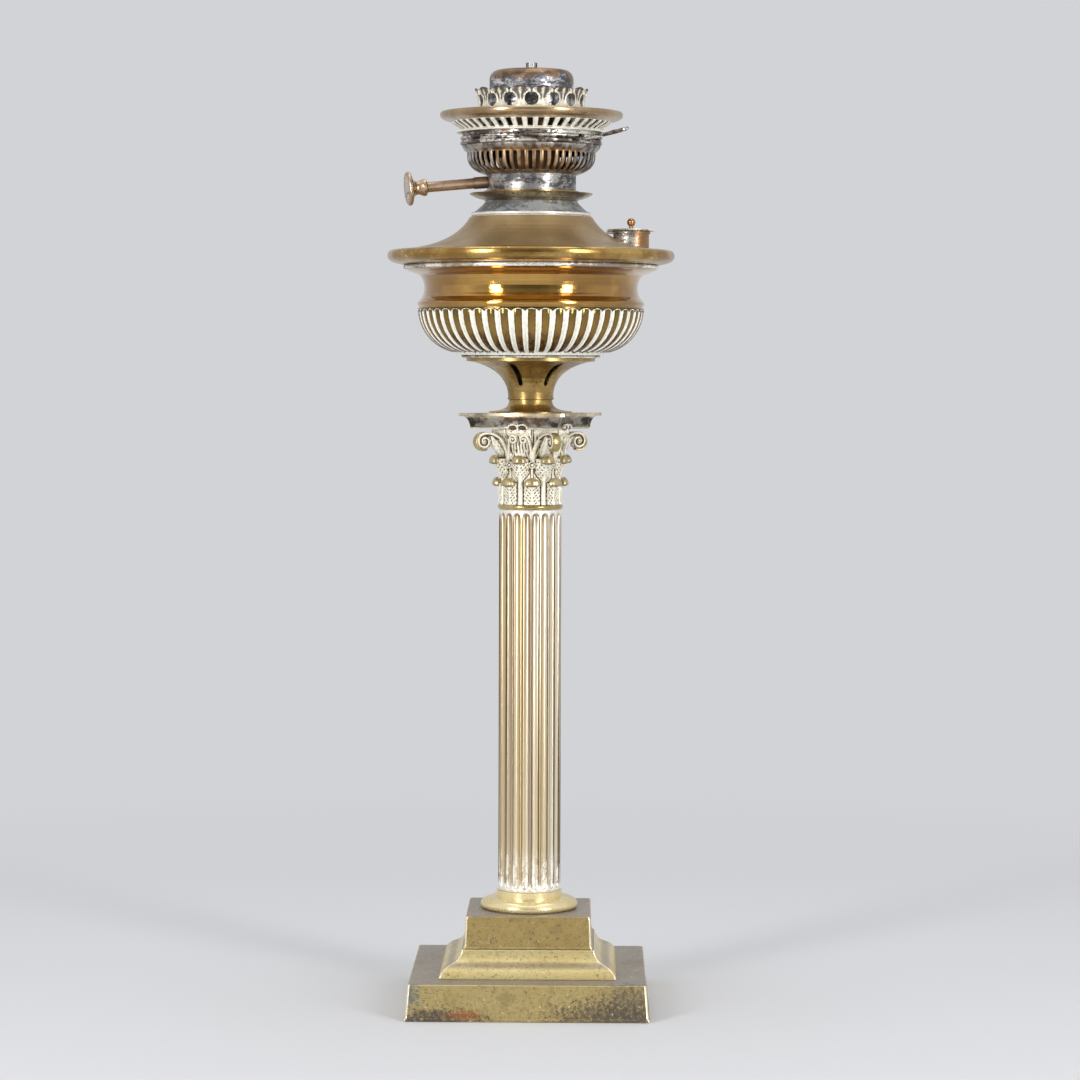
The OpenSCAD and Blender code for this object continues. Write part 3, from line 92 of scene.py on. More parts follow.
# The factor, the two colours and the result among the sockets of a colour mix
MIX_SOCKETS = 0, 6, 7
MIX_RESULT = 2


class Look:
    """A material under construction: short calls that add and join shader nodes."""

    def __init__(self, name):
        self.material = bpy.data.materials.new(name)
        self.material.use_nodes = True
        self.tree = self.material.node_tree
        self.shader = self.tree.nodes["Principled BSDF"]
        self.place = self.add("ShaderNodeTexCoord").outputs["Object"]

    def add(self, kind, **settings):
        node = self.tree.nodes.new(kind)
        for key, value in settings.items():
            setattr(node, key, value)
        return node

    def put(self, socket, value):
        """Join an output to a socket, or set its value; a colour is given as six hex digits."""
        if isinstance(value, bpy.types.NodeSocket):
            self.tree.links.new(value, socket)
        elif isinstance(value, str):
            socket.default_value = (*rgb(value), 1)
        else:
            socket.default_value = value

    def stretched(self, scale):
        node = self.add("ShaderNodeMapping")
        self.put(node.inputs["Vector"], self.place)
        node.inputs["Scale"].default_value = scale
        return node.outputs["Vector"]

    def noise(self, scale, detail=4.0, rough=0.55, vector=None):
        node = self.add("ShaderNodeTexNoise")
        self.put(node.inputs["Vector"], vector or self.place)
        self.put(node.inputs["Scale"], scale)
        self.put(node.inputs["Detail"], detail)
        self.put(node.inputs["Roughness"], rough)
        return node.outputs["Fac"]

    def spread(self, value, low_in, high_in, low_out=0.0, high_out=1.0):
        """A smooth change of result while the value goes from low_in to high_in."""
        node = self.add("ShaderNodeMapRange", interpolation_type="SMOOTHSTEP")
        names = "Value", "From Min", "From Max", "To Min", "To Max"
        for name, item in zip(names, (value, low_in, high_in, low_out, high_out)):
            self.put(node.inputs[name], item)
        return node.outputs["Result"]

    def math(self, kind, *values):
        node = self.add("ShaderNodeMath", operation=kind)
        for socket, value in zip(node.inputs, values):
            self.put(socket, value)
        return node.outputs["Value"]

    def plus(self, first, second):
        return self.math("ADD", first, second)

    def times(self, first, second):
        return self.math("MULTIPLY", first, second)

    def mix(self, share, first, second):
        node = self.add("ShaderNodeMix", data_type="RGBA")
        for index, item in zip(MIX_SOCKETS, (share, first, second)):
            self.put(node.inputs[index], item)
        return node.outputs[MIX_RESULT]

    def distance(self, point, vector=None):
        node = self.add("ShaderNodeVectorMath", operation="DISTANCE")
        self.put(node.inputs[0], vector or self.place)
        node.inputs[1].default_value = point
        return node.outputs["Value"]

    def axis(self, name):
        node = self.add("ShaderNodeSeparateXYZ")
        self.put(node.inputs[0], self.place)
        return node.outputs[name]

    def attribute(self, name):
        node = self.add("ShaderNodeAttribute", attribute_name=name)
        return node.outputs["Fac"]

    def bump(self, height, strength, distance):
        node = self.add("ShaderNodeBump")
        self.put(node.inputs["Height"], height)
        self.put(node.inputs["Strength"], strength)
        self.put(node.inputs["Distance"], distance)
        return node.outputs["Normal"]

    def finish(self, colour, roughness, metallic=1.0, normal=None):
        self.put(self.shader.inputs["Base Color"], colour)
        self.put(self.shader.inputs["Roughness"], roughness)
        self.put(self.shader.inputs["Metallic"], metallic)
        if normal is not None:
            self.put(self.shader.inputs["Normal"], normal)
        return self.material

    def lacquer(self, weight, roughness):
        self.shader.inputs["Coat Weight"].default_value = weight
        self.shader.inputs["Coat Roughness"].default_value = roughness
        self.shader.inputs["Coat IOR"].default_value = 1.8


def rgb(text):
    """A colour written as six hex digits of screen colour, turned into linear light."""
    parts = [int(text[i : i + 2], 16) / 255 for i in (0, 2, 4)]
    return tuple(p / 12.92 if p <= 0.04045 else ((p + 0.055) / 1.055) ** 2.4 for p in parts)


def aged(name, main, tone, stain, gloss=0.24, dull=0.42, patch=38.0, stains=0.64, bump=0.1, metal=1.0,
         coat=0.0):
    """Metal with cloudy patina, fine scratches and small dark spots."""
    look = Look(name)
    look.lacquer(coat, 0.08)
    cloud = look.noise(patch, 6, 0.6)
    fine = look.noise(900, 3)
    specks = look.noise(360, 5, 0.7)
    colour = look.mix(look.spread(cloud, 0.38, 0.66), main, tone)
    colour = look.mix(look.spread(specks, stains, stains + 0.09, 0, 0.8), colour, stain)
    streak = look.noise(260, 3, 0.5, look.stretched((1, 1, 0.12)))
    rough = look.plus(look.spread(cloud, 0.3, 0.75, gloss, dull), look.spread(streak, 0.35, 0.8, 0, 0.08))
    rough = look.plus(rough, look.spread(specks, stains, stains + 0.08, 0, 0.25))
    height = look.plus(look.times(fine, 0.35), look.times(cloud, 0.8))
    return look.finish(colour, rough, metal, look.bump(height, bump, 0.0006))


MATERIALS = {}


def make_materials():
    m = MATERIALS
    m["shoulder"] = shoulder_brass()
    m["rim"] = aged("rim_brass", "b8a07c", "927654", "5c4630", 0.16, 0.28, 44, metal=0.85, coat=0.25)
    m["foot"] = aged("foot_brass", "eddcaa", "d8c48e", "8c7646", 0.22, 0.28, 20, 0.68, 0.02, 0.7)
    m["dish"] = aged("dish_brass", "ac9870", "786448", "3c3226", 0.2, 0.34, 60, 0.56, metal=0.9)
    m["neck"] = aged("neck_brass", "c4b27c", "a08e5a", "6c5a34", 0.16, 0.28, metal=0.9)
    m["gold"] = aged("gold_brass", "b99c62", "a1834a", "6e5430", 0.2, 0.32, 30)
    m["waist"] = aged("lacquered_brass", "c89a44", "a0742e", "6a4a20", 0.06, 0.11, 26, 0.7, coat=0.55)
    m["pedestal"] = aged("pedestal_brass", "b0945a", "8c7242", "4c3c24", 0.22, 0.36, 60, 0.6, metal=0.85)
    # Inner burner parts: darkened by heat, and darker still as painted shade where they show through slots.
    m["dark"] = aged("heat_and_shade_dark_brass", "5c4430", "443428", "281e18", 0.35, 0.5, 60, 0.56)
    m["bronze"] = aged("bronze_tube", "b09880", "8c7058", "54443a", 0.26, 0.4, 70, 0.58, metal=0.8)
    m["copper"] = aged("coppery_ball", "b88a62", "946a4a", "5c4030", 0.22, 0.36, 70, 0.6)
    m["steel"] = aged("plain_steel", "9c9a96", "84807a", "5c4a3c", 0.3, 0.45, 80)
    m["iron"] = aged("rough_iron", "3c3a38", "2c2826", "5a3c28", 0.55, 0.8, 90, 0.6, 0.4)
    m["tin"] = streaked("streaked_tin", "e6e3dc", "584e48", "7c5c46", 0.5)
    m["silver"] = streaked("worn_silver", "f6f3ea", "98928a", "9c8c70", 0.5, metal=0.6)
    m["collar"] = collar_brass()
    m["throat"] = streaked("dark_throat", "a8a6a2", "4c4a4a", "5a4a40", 0.5, metal=0.7)
    m["basket"] = slotted_brass("basket_brass", "c2a47c", "725640", "1c1714", 0.75, high("burner_basket").z)
    m["band"] = slotted_brass("band_brass", "f8f5ea", "ece7d8", "6a6a5c", 0.2)
    m["dome"] = dome_brass()
    m["filler"] = filler_brass()
    m["knob"] = knob_brass()
    m["abacus"] = abacus_brass()
    m["cotton"] = cotton()
    m["gadroon"] = gadroon_brass()
    m["column"] = column_brass()
    m["cast"] = cast_brass("residue_brass", "3a2c20", "6a543a")
    m["crown"] = cast_brass("crown_brass", "343230", "7c7468")
    m["base"] = base_brass()


def streaked(name, pale, dull, warm, share, extra=None, metal=0.9):
    """Tinned brass rubbed bright in bands, dark and brownish between them. extra adds to the colour."""
    look = Look(name)
    band = look.noise(46, 6, 0.68, look.stretched((1, 1, 3.2)))
    fine = look.noise(420, 4, 0.65, look.stretched((1, 1, 1.8)))
    blot = look.noise(64, 4, 0.6)
    worn = look.plus(band, look.spread(fine, 0.3, 0.7, -0.07, 0.07))
    colour = look.mix(look.spread(worn, share - 0.05, share + 0.06), pale, dull)
    colour = look.mix(look.spread(blot, 0.52, 0.66, 0, 0.75), colour, warm)
    colour = look.mix(look.spread(look.noise(300, 5, 0.7), 0.6, 0.68, 0, 0.8), colour, "2c2622")
    if extra:
        colour = extra(look, colour)
    rough = look.spread(worn, share - 0.12, share + 0.12, 0.24, 0.42)
    return look.finish(colour, rough, metal, look.bump(look.plus(fine, band), 0.22, 0.0006))


def dome_brass():
    """Brown and gold over the top, with pale flaking spots on dark grey sides."""

    def layers(look, colour):
        top = high("draught_dome").z
        edge = look.plus(look.axis("Z"), look.spread(look.noise(90, 4), 0.3, 0.7, -0.003, 0.003))
        brown = look.mix(look.spread(look.noise(70, 4), 0.4, 0.62), "94765a", "5c4a3e")
        return look.mix(look.spread(edge, top - 0.0075, top - 0.0035), colour, brown)

    return streaked("dome_brass", "cfcfd2", "5e5e62", "4e4440", 0.49, layers)


def collar_brass():
    """Blue-grey and chalky, with a pale bead at its foot."""

    def bead(look, colour):
        foot = low("font_collar").z + 0.0016
        return look.mix(look.spread(look.axis("Z"), foot + 0.0026, foot + 0.0016), colour, "f0ece2")

    return streaked("grey_collar", "c4c8ca", "828a90", "6c665e", 0.47, bead, 0.45)


# Radii between which the shoulder turns into its polished rim
RIM_RADII = 0.0775, 0.0805


def shoulder_brass():
    """Even olive brass above, more polished and golden round the rim."""
    look = Look("shoulder_brass")
    cloud = look.noise(34, 5, 0.6)
    x, y = look.axis("X"), look.axis("Y")
    radius = look.math("SQRT", look.plus(look.times(x, x), look.times(y, y)))
    outer = look.spread(look.plus(radius, look.spread(cloud, 0.3, 0.7, -0.001, 0.001)), *RIM_RADII)
    colour = look.mix(look.spread(cloud, 0.38, 0.66), "a88f66", "997e56")
    gold = look.mix(look.spread(look.noise(70, 4), 0.4, 0.64), "bd9c5c", "96743e")
    colour = look.mix(outer, colour, gold)
    specks = look.noise(420, 5, 0.7)
    colour = look.mix(look.spread(specks, 0.63, 0.7, 0, 0.7), colour, "5c4628")
    pale = look.times(look.spread(look.noise(300, 3, 0.5), 0.66, 0.7), outer)
    colour = look.mix(look.times(pale, 0.7), colour, "eee2b8")
    rough = look.math("SUBTRACT", look.spread(cloud, 0.3, 0.75, 0.34, 0.42), look.times(outer, 0.16))
    metal = look.plus(0.68, look.times(outer, 0.27))
    height = look.plus(look.times(look.noise(900, 3), 0.3), cloud)
    return look.finish(colour, rough, metal, look.bump(height, 0.12, 0.0006))


def slotted_brass(name, pale, dull, shade_dark, metal, grey_top=None):
    """Slats between dark slots; what faces inwards, and the slat edges beside the slots, are darkened as
    painted shade. A wall whose top is at the height grey_top is grey there, and grey at its sides as a
    painted reflection."""
    look = Look(name)
    grain = look.noise(240, 4, 0.6, look.stretched((1, 1, 0.5)))
    colour = look.mix(look.spread(grain, 0.35, 0.65), pale, dull)
    if grey_top:
        # Painted reflection: grey towards the sides along X, where the wall turns away and mirrors the pale
        # surroundings.
        away = look.math("ABSOLUTE", look.axis("X"))
        grey = look.mix(look.spread(grain, 0.4, 0.6), "b4aea6", "645c56")
        edge = look.plus(away, look.spread(look.noise(90, 3), 0.3, 0.7, -0.007, 0.007))
        colour = look.mix(look.spread(edge, 0.022, 0.033), colour, grey)
        top = look.spread(look.axis("Z"), grey_top - 0.004, grey_top - 0.002)
        colour = look.mix(top, colour, grey)
    colour = look.mix(look.spread(look.noise(500, 4, 0.7), 0.6, 0.68, 0, 0.7), colour, "3a2e26")
    # Painted shade: slat edges beside the slots and the inward faces turn dark.
    colour = look.mix(look.attribute("edge"), colour, "3c3026")
    colour = look.mix(look.attribute("inside"), colour, shade_dark)
    return look.finish(colour, look.spread(grain, 0.3, 0.7, 0.3, 0.44), metal, look.bump(grain, 0.12, 0.0004))


# Distances to the right between which the filler turns brown
FILLER_BROWN = 0.0625, 0.067


def filler_brass():
    """Silvery on the side of the burner, brown on the other."""

    def brown_side(look, colour):
        brown = look.mix(look.noise(120, 4), "b48c5c", "7a583c")
        return look.mix(look.spread(look.axis("X"), *FILLER_BROWN), colour, brown)

    return streaked("filler_brass", "eeebe2", "8c8478", "7c664c", 0.53, brown_side, 0.7)


def knob_brass():
    """A gold rim round a dark dished face."""

    def face(look, colour):
        middle = (low("winder_knob") + high("winder_knob")) / 2
        away = look.distance((low("winder_knob").x, middle.y - 0.0006, middle.z))
        return look.mix(look.spread(away, 0.0074, 0.0088), colour, "b8a084")

    return streaked("knob_brass", "c8c4ba", "5c564e", "7a6a54", 0.52, face)


def abacus_brass():
    """A bright lip over a dark mottled hollow moulding."""
    look = Look("abacus_brass")
    foot = low("abacus").z
    blot = look.noise(120, 5, 0.65)
    cream = look.mix(look.spread(look.noise(90, 4), 0.4, 0.65), "e6dcc6", "b4a284")
    dark = look.mix(look.spread(blot, 0.4, 0.6), "3c362e", "a09a8e")
    dark = look.mix(look.spread(look.noise(52, 3), 0.54, 0.62), dark, "70563e")
    level = look.plus(look.axis("Z"), look.spread(blot, 0.3, 0.7, -0.0004, 0.0004))
    above = look.spread(level, foot + 0.0008, foot + 0.0014)
    below = look.spread(level, foot + 0.0078, foot + 0.0068)
    inside = look.times(above, below)
    colour = look.mix(inside, cream, dark)
    rough = look.spread(blot, 0.3, 0.7, 0.22, 0.36)
    return look.finish(colour, rough, 0.85, look.bump(blot, 0.15, 0.0005))


def cast_brass(name, shade_dark, shade_mottle):
    """Pale polish residue over cast brass, with painted shade in the hollows in two dark tones,
    and gold on the worn high spots, partly wear and partly a painted highlight.
    """
    look = Look(name)
    grain = look.noise(700, 5, 0.65)
    cream = look.mix(look.spread(grain, 0.35, 0.7), "faf6e8", "dcd4bc")
    worn = look.times(look.attribute("worn"), look.spread(look.noise(240, 4), 0.42, 0.6, 0, 0.55))
    gold = look.math("MAXIMUM", look.attribute("gold"), worn)
    brass = look.mix(look.noise(160, 4), "cdb888", "9c8a5a")
    # Painted shade: the shade mark, loosened by the grain, turns the colour to the two dark tones.
    shade = look.plus(look.attribute("shade"), look.spread(grain, 0.2, 0.8, -0.25, 0.25))
    shade = look.spread(shade, 0.3, 0.75)
    dark = look.mix(look.noise(420, 4), shade_dark, shade_mottle)
    colour = look.mix(shade, look.mix(gold, cream, brass), dark)
    metallic = look.plus(look.times(gold, 0.6), 0.3)
    rough = look.math("SUBTRACT", 0.46, look.times(gold, 0.2))
    return look.finish(colour, rough, metallic, look.bump(grain, 0.2, 0.0003))


# Stains of the base: middle, how many times wider than high, radius, colour and strength
STAINS = (
    ((0.05, -0.076, 0.0), 3.0, 0.056, "4e4644", 0.75),
    ((0.076, -0.03, 0.0), 3.2, 0.050, "54493f", 0.75),
    ((0.064, -0.074, 0.008), 1.3, 0.030, "5a5452", 0.6),
    ((-0.062, -0.076, 0.0), 2.4, 0.026, "5c5462", 0.75),
    ((-0.05, -0.076, 0.002), 4.0, 0.036, "544a40", 0.8),
    ((-0.038, -0.076, 0.0045), 3.4, 0.014, "a8663c", 0.75),
    ((-0.072, -0.075, 0.0165), 0.8, 0.009, "4c6678", 0.75),
    ((-0.03, 0.077, 0.0), 3.2, 0.050, "4e463c", 0.85),
    ((-0.077, 0.05, 0.0), 3.0, 0.036, "5a4a38", 0.85),
)


def base_brass():
    """Speckled patina: pale on the fronts, with dark corrosion low at a corner and small pits. Tops are
    greyer as a painted reflection, and worn edges are pale, partly wear and partly a painted highlight.
    """
    look = Look("base_brass")
    cloud = look.noise(26, 5, 0.6)
    fine = look.noise(420, 5, 0.7)
    specks = look.noise(700, 4, 0.7)
    colour = look.mix(look.spread(cloud, 0.35, 0.68), "dcca92", "ccb97f")
    block = look.spread(look.axis("Z"), low("base_block").z - 0.0005, low("base_block").z + 0.001)
    colour = look.mix(block, colour, look.mix(cloud, "baa268", "9a8450"))
    slab = look.spread(look.axis("Z"), low("base_ogee").z + 0.0005, low("base_ogee").z - 0.001)
    colour = look.mix(slab, colour, look.mix(cloud, "c4b07a", "aa965f"))
    calm = look.math("MAXIMUM", block, slab)
    calm = look.plus(look.times(calm, 0.82), 0.18)
    colour = look.mix(look.times(look.spread(specks, 0.57, 0.69, 0, 0.6), calm), colour, "6e5c38")
    mottle = look.spread(look.noise(110, 5, 0.7), 0.5, 0.64, 0, 0.4)
    colour = look.mix(look.times(mottle, calm), colour, "84744a")
    for scale, share in ((70, 0.26), (130, 0.24)):
        line = look.math("ABSOLUTE", look.math("SUBTRACT", look.noise(scale, 1.5, 0.5), 0.5))
        scratch = look.times(look.spread(line, 0.006, 0.0), look.spread(look.noise(38, 2), 0.4, 0.5))
        colour = look.mix(look.times(scratch, share), colour, "efe2ac")
    # Painted reflection: faces turned upwards are greyer, for the grey surroundings they mirror.
    up = look.add("ShaderNodeNewGeometry")
    facing = look.add("ShaderNodeSeparateXYZ")
    look.put(facing.inputs[0], up.outputs["Normal"])
    level = look.spread(facing.outputs["Z"], 0.75, 0.98)
    colour = look.mix(level, colour, look.mix(cloud, "aaa296", "948a7c"))
    flecks = look.noise(1500, 4, 0.8)
    for (x, y, z), squash, radius, tint, share in STAINS:
        away = look.distance((x, y, z * squash), look.stretched((1, 1, squash)))
        near = look.spread(away, radius * 1.3, radius * 0.1)
        ragged = look.plus(near, look.spread(fine, 0.25, 0.75, -0.5, 0.5))
        ragged = look.plus(ragged, look.spread(flecks, 0.35, 0.65, -0.4, 0.4))
        colour = look.mix(look.spread(ragged, 0.36, 0.86, 0, share), colour, tint)
    pits = look.spread(look.noise(260, 3, 0.5), 0.69, 0.73)
    colour = look.mix(look.times(pits, 0.7), colour, "e8dcb0")
    # Pale worn edges: partly wear, partly a painted highlight along edges and corners.
    edge = look.plus(look.attribute("worn"), look.spread(fine, 0.3, 0.7, -0.3, 0.3))
    edge = look.spread(edge, 0.55, 0.95)
    colour = look.mix(edge, colour, "efe6c8")
    colour = look.mix(look.attribute("inside"), colour, "5a4c34")
    rough = look.plus(look.spread(cloud, 0.3, 0.75, 0.3, 0.42), look.times(level, 0.12))
    rough = look.math("SUBTRACT", rough, look.times(edge, 0.12))
    height = look.plus(look.times(fine, 0.5), cloud)
    return look.finish(colour, rough, 0.6, look.bump(height, 0.14, 0.0006))


# Heights between which the wick turns from clean to charred
WICK_CHAR = 0.560, 0.5765


def cotton():
    """Ribbed cotton, charred at its top."""
    look = Look("cotton_wick")
    weave = look.add("ShaderNodeTexWave", wave_type="BANDS", bands_direction="Z")
    look.put(weave.inputs["Vector"], look.place)
    look.put(weave.inputs["Scale"], 420)
    look.put(weave.inputs["Distortion"], 1.5)
    fuzz = look.noise(1800, 4)
    top = look.spread(look.axis("Z"), *WICK_CHAR)
    colour = look.mix(top, "d6cbae", "3c3226")
    height = look.plus(weave.outputs["Fac"], fuzz)
    return look.finish(colour, 0.9, 0.0, look.bump(height, 0.6, 0.0006))


# Heights between which the lobes turn from brown spots to gold, and from gold to olive
LOBES_BROWN = 0.412, 0.421
LOBES_OLIVE = 0.427, 0.436


def gadroon_brass():
    """Gold on the worn tops of the ribs, cream polish residue between them."""
    look = Look("gadroon_brass")
    wobble = look.noise(420, 4, 0.6)
    worn = look.plus(look.attribute("worn"), look.spread(wobble, 0.3, 0.7, -0.16, 0.16))
    gold = look.spread(worn, 0.42, 0.58)
    level = look.plus(look.axis("Z"), look.spread(look.noise(150, 3), 0.3, 0.7, -0.003, 0.003))
    brown = look.spread(level, *LOBES_BROWN, 1, 0)
    brass = look.mix(look.noise(60, 4), "a8884c", "846838")
    brass = look.mix(look.spread(level, *LOBES_OLIVE), brass, "70602f")
    spots = look.mix(look.spread(look.noise(620, 4, 0.7), 0.5, 0.62), "4a2e1a", "8e6a3e")
    brass = look.mix(look.times(brown, 0.88), brass, spots)
    cream = look.mix(look.spread(look.noise(520, 5, 0.65), 0.45, 0.8), "fffdf0", "e4dcc2")
    colour = look.mix(gold, cream, brass)
    lines = look.times(look.attribute("dark"), look.spread(wobble, 0.3, 0.6, 0.6, 1))
    colour = look.mix(lines, colour, "2e261a")
    metallic = look.plus(look.times(gold, 0.8), 0.15)
    rough = look.math("SUBTRACT", 0.44, look.times(gold, 0.3))
    normal = look.bump(look.plus(wobble, gold), 0.25, 0.0004)
    return look.finish(colour, rough, metallic, normal)


def column_brass():
    """Gold fillets and flutes with rosy and pale streaks, silvery near the flutes' ends; the upper ends of
    the flutes are darkened as painted shade.
    """
    look = Look("column_brass")
    streak = look.noise(200, 3, 0.5, look.stretched((1, 1, 0.008)))
    wide = look.noise(95, 2, 0.5, look.stretched((1, 1, 0.012)))
    brass = look.mix(look.spread(wide, 0.4, 0.6), "ceb482", "f0e4cc")
    brass = look.mix(look.spread(streak, 0.48, 0.62, 0, 0.8), brass, "a88c6c")
    groove = look.attribute("groove")
    brass = look.mix(look.times(groove, 0.35), brass, "f2e8cc")
    lip = look.times(look.spread(groove, 0.0, 0.08), look.spread(groove, 0.75, 0.3))
    uneven = look.spread(look.noise(70, 3, 0.5, look.stretched((1, 1, 0.05))), 0.35, 0.55, 0.5, 1.0)
    brass = look.mix(look.times(lip, uneven), brass, "4a3a2a")
    bottom, top = low("column").z, high("column").z
    low_end = look.spread(look.axis("Z"), bottom + 0.004, bottom + 0.034, 1, 0)
    spots = look.spread(look.noise(300, 6, 0.75, look.stretched((1, 1, 0.35))), 0.42, 0.56)
    silver = look.times(look.times(low_end, look.spread(groove, 0.1, 0.4)), spots)
    ends = look.times(look.attribute("pale"), look.spread(groove, 0.45, 0.1))
    silver = look.math("MAXIMUM", silver, ends)
    # Painted shade in the upper ends of the flutes.
    top_end = look.spread(look.axis("Z"), top - 0.012, top - 0.004)
    near_top = look.times(top_end, look.spread(groove, 0.5, 0.9, 0, 0.6))
    colour = look.mix(near_top, brass, "7a6248")
    colour = look.mix(silver, colour, "f6f2e8")
    rough = look.plus(look.spread(streak, 0.3, 0.7, 0.16, 0.22), look.times(silver, 0.2))
    return look.finish(colour, rough, 0.66)


# The look of each node of the frame
NODE_LOOKS = {
    "base": "base_slab base_ogee base_block",
    "foot": "column_foot",
    "neck": "column_neck",
    "shoulder": "font_shoulder",
    "rim": "gallery_rim",
    "gold": "column font_floor font_bowl",
    "pedestal": "font_foot font_pedestal",
    "waist": "font_band",
    "silver": "font_base_ring font_ring filler_lid",
    "cast": "capital lower_leaves upper_leaves chimney_crown",
    "band": "gallery_band",
    "abacus": "abacus",
    "collar": "font_collar",
    "tin": "burner_rim snuffer_lever",
    "dish": "burner_dish",
    "throat": "burner_throat",
    "basket": "burner_basket",
    "filler": "filler_neck",
    "dome": "draught_dome",
    "dark": "draught_tube wick_tube snuffer_sleeve flame_spreader winder_pinion",
    "bronze": "winder_tube",
    "knob": "winder_knob",
    "copper": "lid_ball",
    "steel": "spreader_button tie_rod tie_nuts tie_washers lid_pin lever_pin wick_carrier wick_rack "
             "winder_spindle",
    "iron": "base_weight",
    "cotton": "wick",
}


def dress(obj, look):
    obj.data.materials.clear()
    obj.data.materials.append(MATERIALS[look])


def dress_nodes():
    for look, names in NODE_LOOKS.items():
        for name in names.split():
            dress(NODES[name], look)
            for polygon in NODES[name].data.polygons:
                polygon.material_index = 0


# Mesh helpers


def new_piece(name, points, faces, look, body, replaced):
    mesh = bpy.data.meshes.new(name)
    mesh.from_pydata([tuple(p) for p in points], [], faces)
    mesh.validate()
    mesh.update()
    draft = bmesh.new()
    draft.from_mesh(mesh)
    bmesh.ops.recalc_face_normals(draft, faces=draft.faces)
    draft.to_mesh(mesh)
    draft.free()
    mesh.polygons.foreach_set("use_smooth", [True] * len(mesh.polygons))
    piece = bpy.data.objects.new(name, mesh)
    bpy.context.scene.collection.objects.link(piece)
    dress(piece, look)
    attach(piece, body)
    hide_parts(*replaced)
    return piece


def mark(piece, marks):
    """Named values, one for each point, that the materials read."""
    for key, values in marks.items():
        attribute = piece.data.attributes.new(key, "FLOAT", "POINT")
        attribute.data.foreach_set("value", np.asarray(values, np.float32))


class Form:
    """Closed shapes gathered into one piece, with the marks that their material reads."""

    def __init__(self):
        self.points, self.faces, self.marks = [], [], {}

    def rings(self, rings, looped=False, **marks):
        """Rings of equal length joined in turn, looped or with a flat face over each end."""
        rings = np.asarray(rings, float)
        rows, n, _ = rings.shape
        faces = []
        for r in range(rows if looped else rows - 1):
            a, b = r * n, (r + 1) % rows * n
            faces += [(a + i, a + (i + 1) % n, b + (i + 1) % n, b + i) for i in range(n)]
        if not looped:
            faces += [tuple(range(n)), tuple(range((rows - 1) * n, rows * n))]
        start = len(self.points)
        for key in {**self.marks, **marks}:
            value = np.ravel(np.asarray(marks.get(key, 0.0), float))
            self.marks.setdefault(key, [0.0] * start).extend(np.broadcast_to(value, rows * n))
        self.points.extend(map(tuple, rings.reshape(-1, 3)))
        self.faces.extend(tuple(start + i for i in face) for face in faces)

    def piece(self, name, look, body, slot, replaced):
        mark(new_piece(name, self.points, self.faces, look, body, replaced), self.marks)


def ringed(name, rings, look, slot, replaced, **marks):
    """A skin on the stand through rings of equal length, the last joined to the first."""
    form = Form()
    form.rings(rings, looped=True, **marks)
    form.piece(name, look, "stand", slot, replaced)


def circle(radius, turn, z):
    """Points round the Z axis; radius and height may change with the turn."""
    return np.stack((radius * np.cos(turn), radius * np.sin(turn), z + 0 * turn), 1)


def smooth(x, a, b):
    """0 up to a, 1 from b on, and an even curve between them."""
    t = np.clip((np.asarray(x, float) - a) / (b - a), 0, 1)
    return t * t * (3 - 2 * t)


def crest(x, width):
    """1 where x is 0, falling off to both sides."""
    return np.exp(-((x / width) ** 2))


def bezier(a, b, c, d, steps):
    """Points along a curve from a to d that b and c pull towards them."""
    a, b, c, d = (np.array(p, float) for p in (a, b, c, d))
    return [
        (1 - t) ** 3 * a + 3 * t * (1 - t) ** 2 * b + 3 * t * t * (1 - t) * c + t**3 * d
        for t in np.linspace(0, 1, steps)
    ]


# Gadrooned bowl

LOBES = 52
LOBE_FIRST = radians(-2)
LOBE_DEPTH = 1.9 * MM
ARCH_DROP = 1.9 * MM
BOWL_FOOT = 1.0 * MM
BOWL_START = radians(-82)
BOWL_WALL = 2.6 * MM


def make_bowl():
    """Ribs with worn tops and pale valleys; each rib ends in an arch under the bead above."""
    per_lobe = 16
    n = LOBES * per_lobe
    turn = LOBE_FIRST + np.arange(n) * 2 * pi / n
    away = np.abs(2 * (np.arange(n) % per_lobe) / per_lobe - 1)
    top, foot = high("font_bowl").z, low("font_bowl").z
    arc = top - foot - BOWL_FOOT
    centre = high("font_bowl").x - arc
    rib = np.sqrt(np.clip(1 - (away * 0.985) ** 2, 0, 1))
    rings, worn, dark = [], [], []

    def add_ring(radius, z, worn_here, dark_here):
        rings.append(circle(radius, turn, z))
        worn.append(worn_here + 0 * turn)
        dark.append(dark_here + 0 * turn)

    lower, upper = np.linspace(BOWL_START, radians(-9), 32), np.linspace(radians(-8.4), 0, 14)
    for angle in np.concatenate((lower, upper)):
        level = top + arc * sin(angle)
        arch = top - 0.25 * MM - ARCH_DROP * away**2
        inside = smooth(arch - level, 0, 0.5 * MM)
        start = smooth(angle, BOWL_START, BOWL_START + radians(5))
        lift = (rib * inside + (1 - inside)) * start
        reach = arc - LOBE_DEPTH * (1 - lift)
        fringe = 1 - 0.9 * crest(arch - level - 0.5 * MM, 0.26 * MM)
        edge = (0.9 * crest(away - 0.54, 0.07) + 0.3 * crest(away - 0.9, 0.05)) * inside
        under = crest(arch - level + 0.15 * MM, 0.3 * MM) * (angle > radians(-12))
        add_ring(centre + reach * cos(angle), top + reach * sin(angle),
                 smooth(away, 0.62, 0.48) * inside * fringe + (1 - inside), np.maximum(edge, under))
    inner = arc - BOWL_WALL
    for angle in np.linspace(0, BOWL_START, 12):
        add_ring(centre + inner * cos(angle), top + inner * sin(angle), 1, 0)
    add_ring(centre + inner * cos(BOWL_START), foot, 1, 0)
    add_ring(centre + arc * cos(BOWL_START), foot, 0, 0)
    ringed("gadrooned_bowl", rings, "gadroon", "font_brass", ["font_bowl"], worn=worn, dark=dark)


# Fluted column

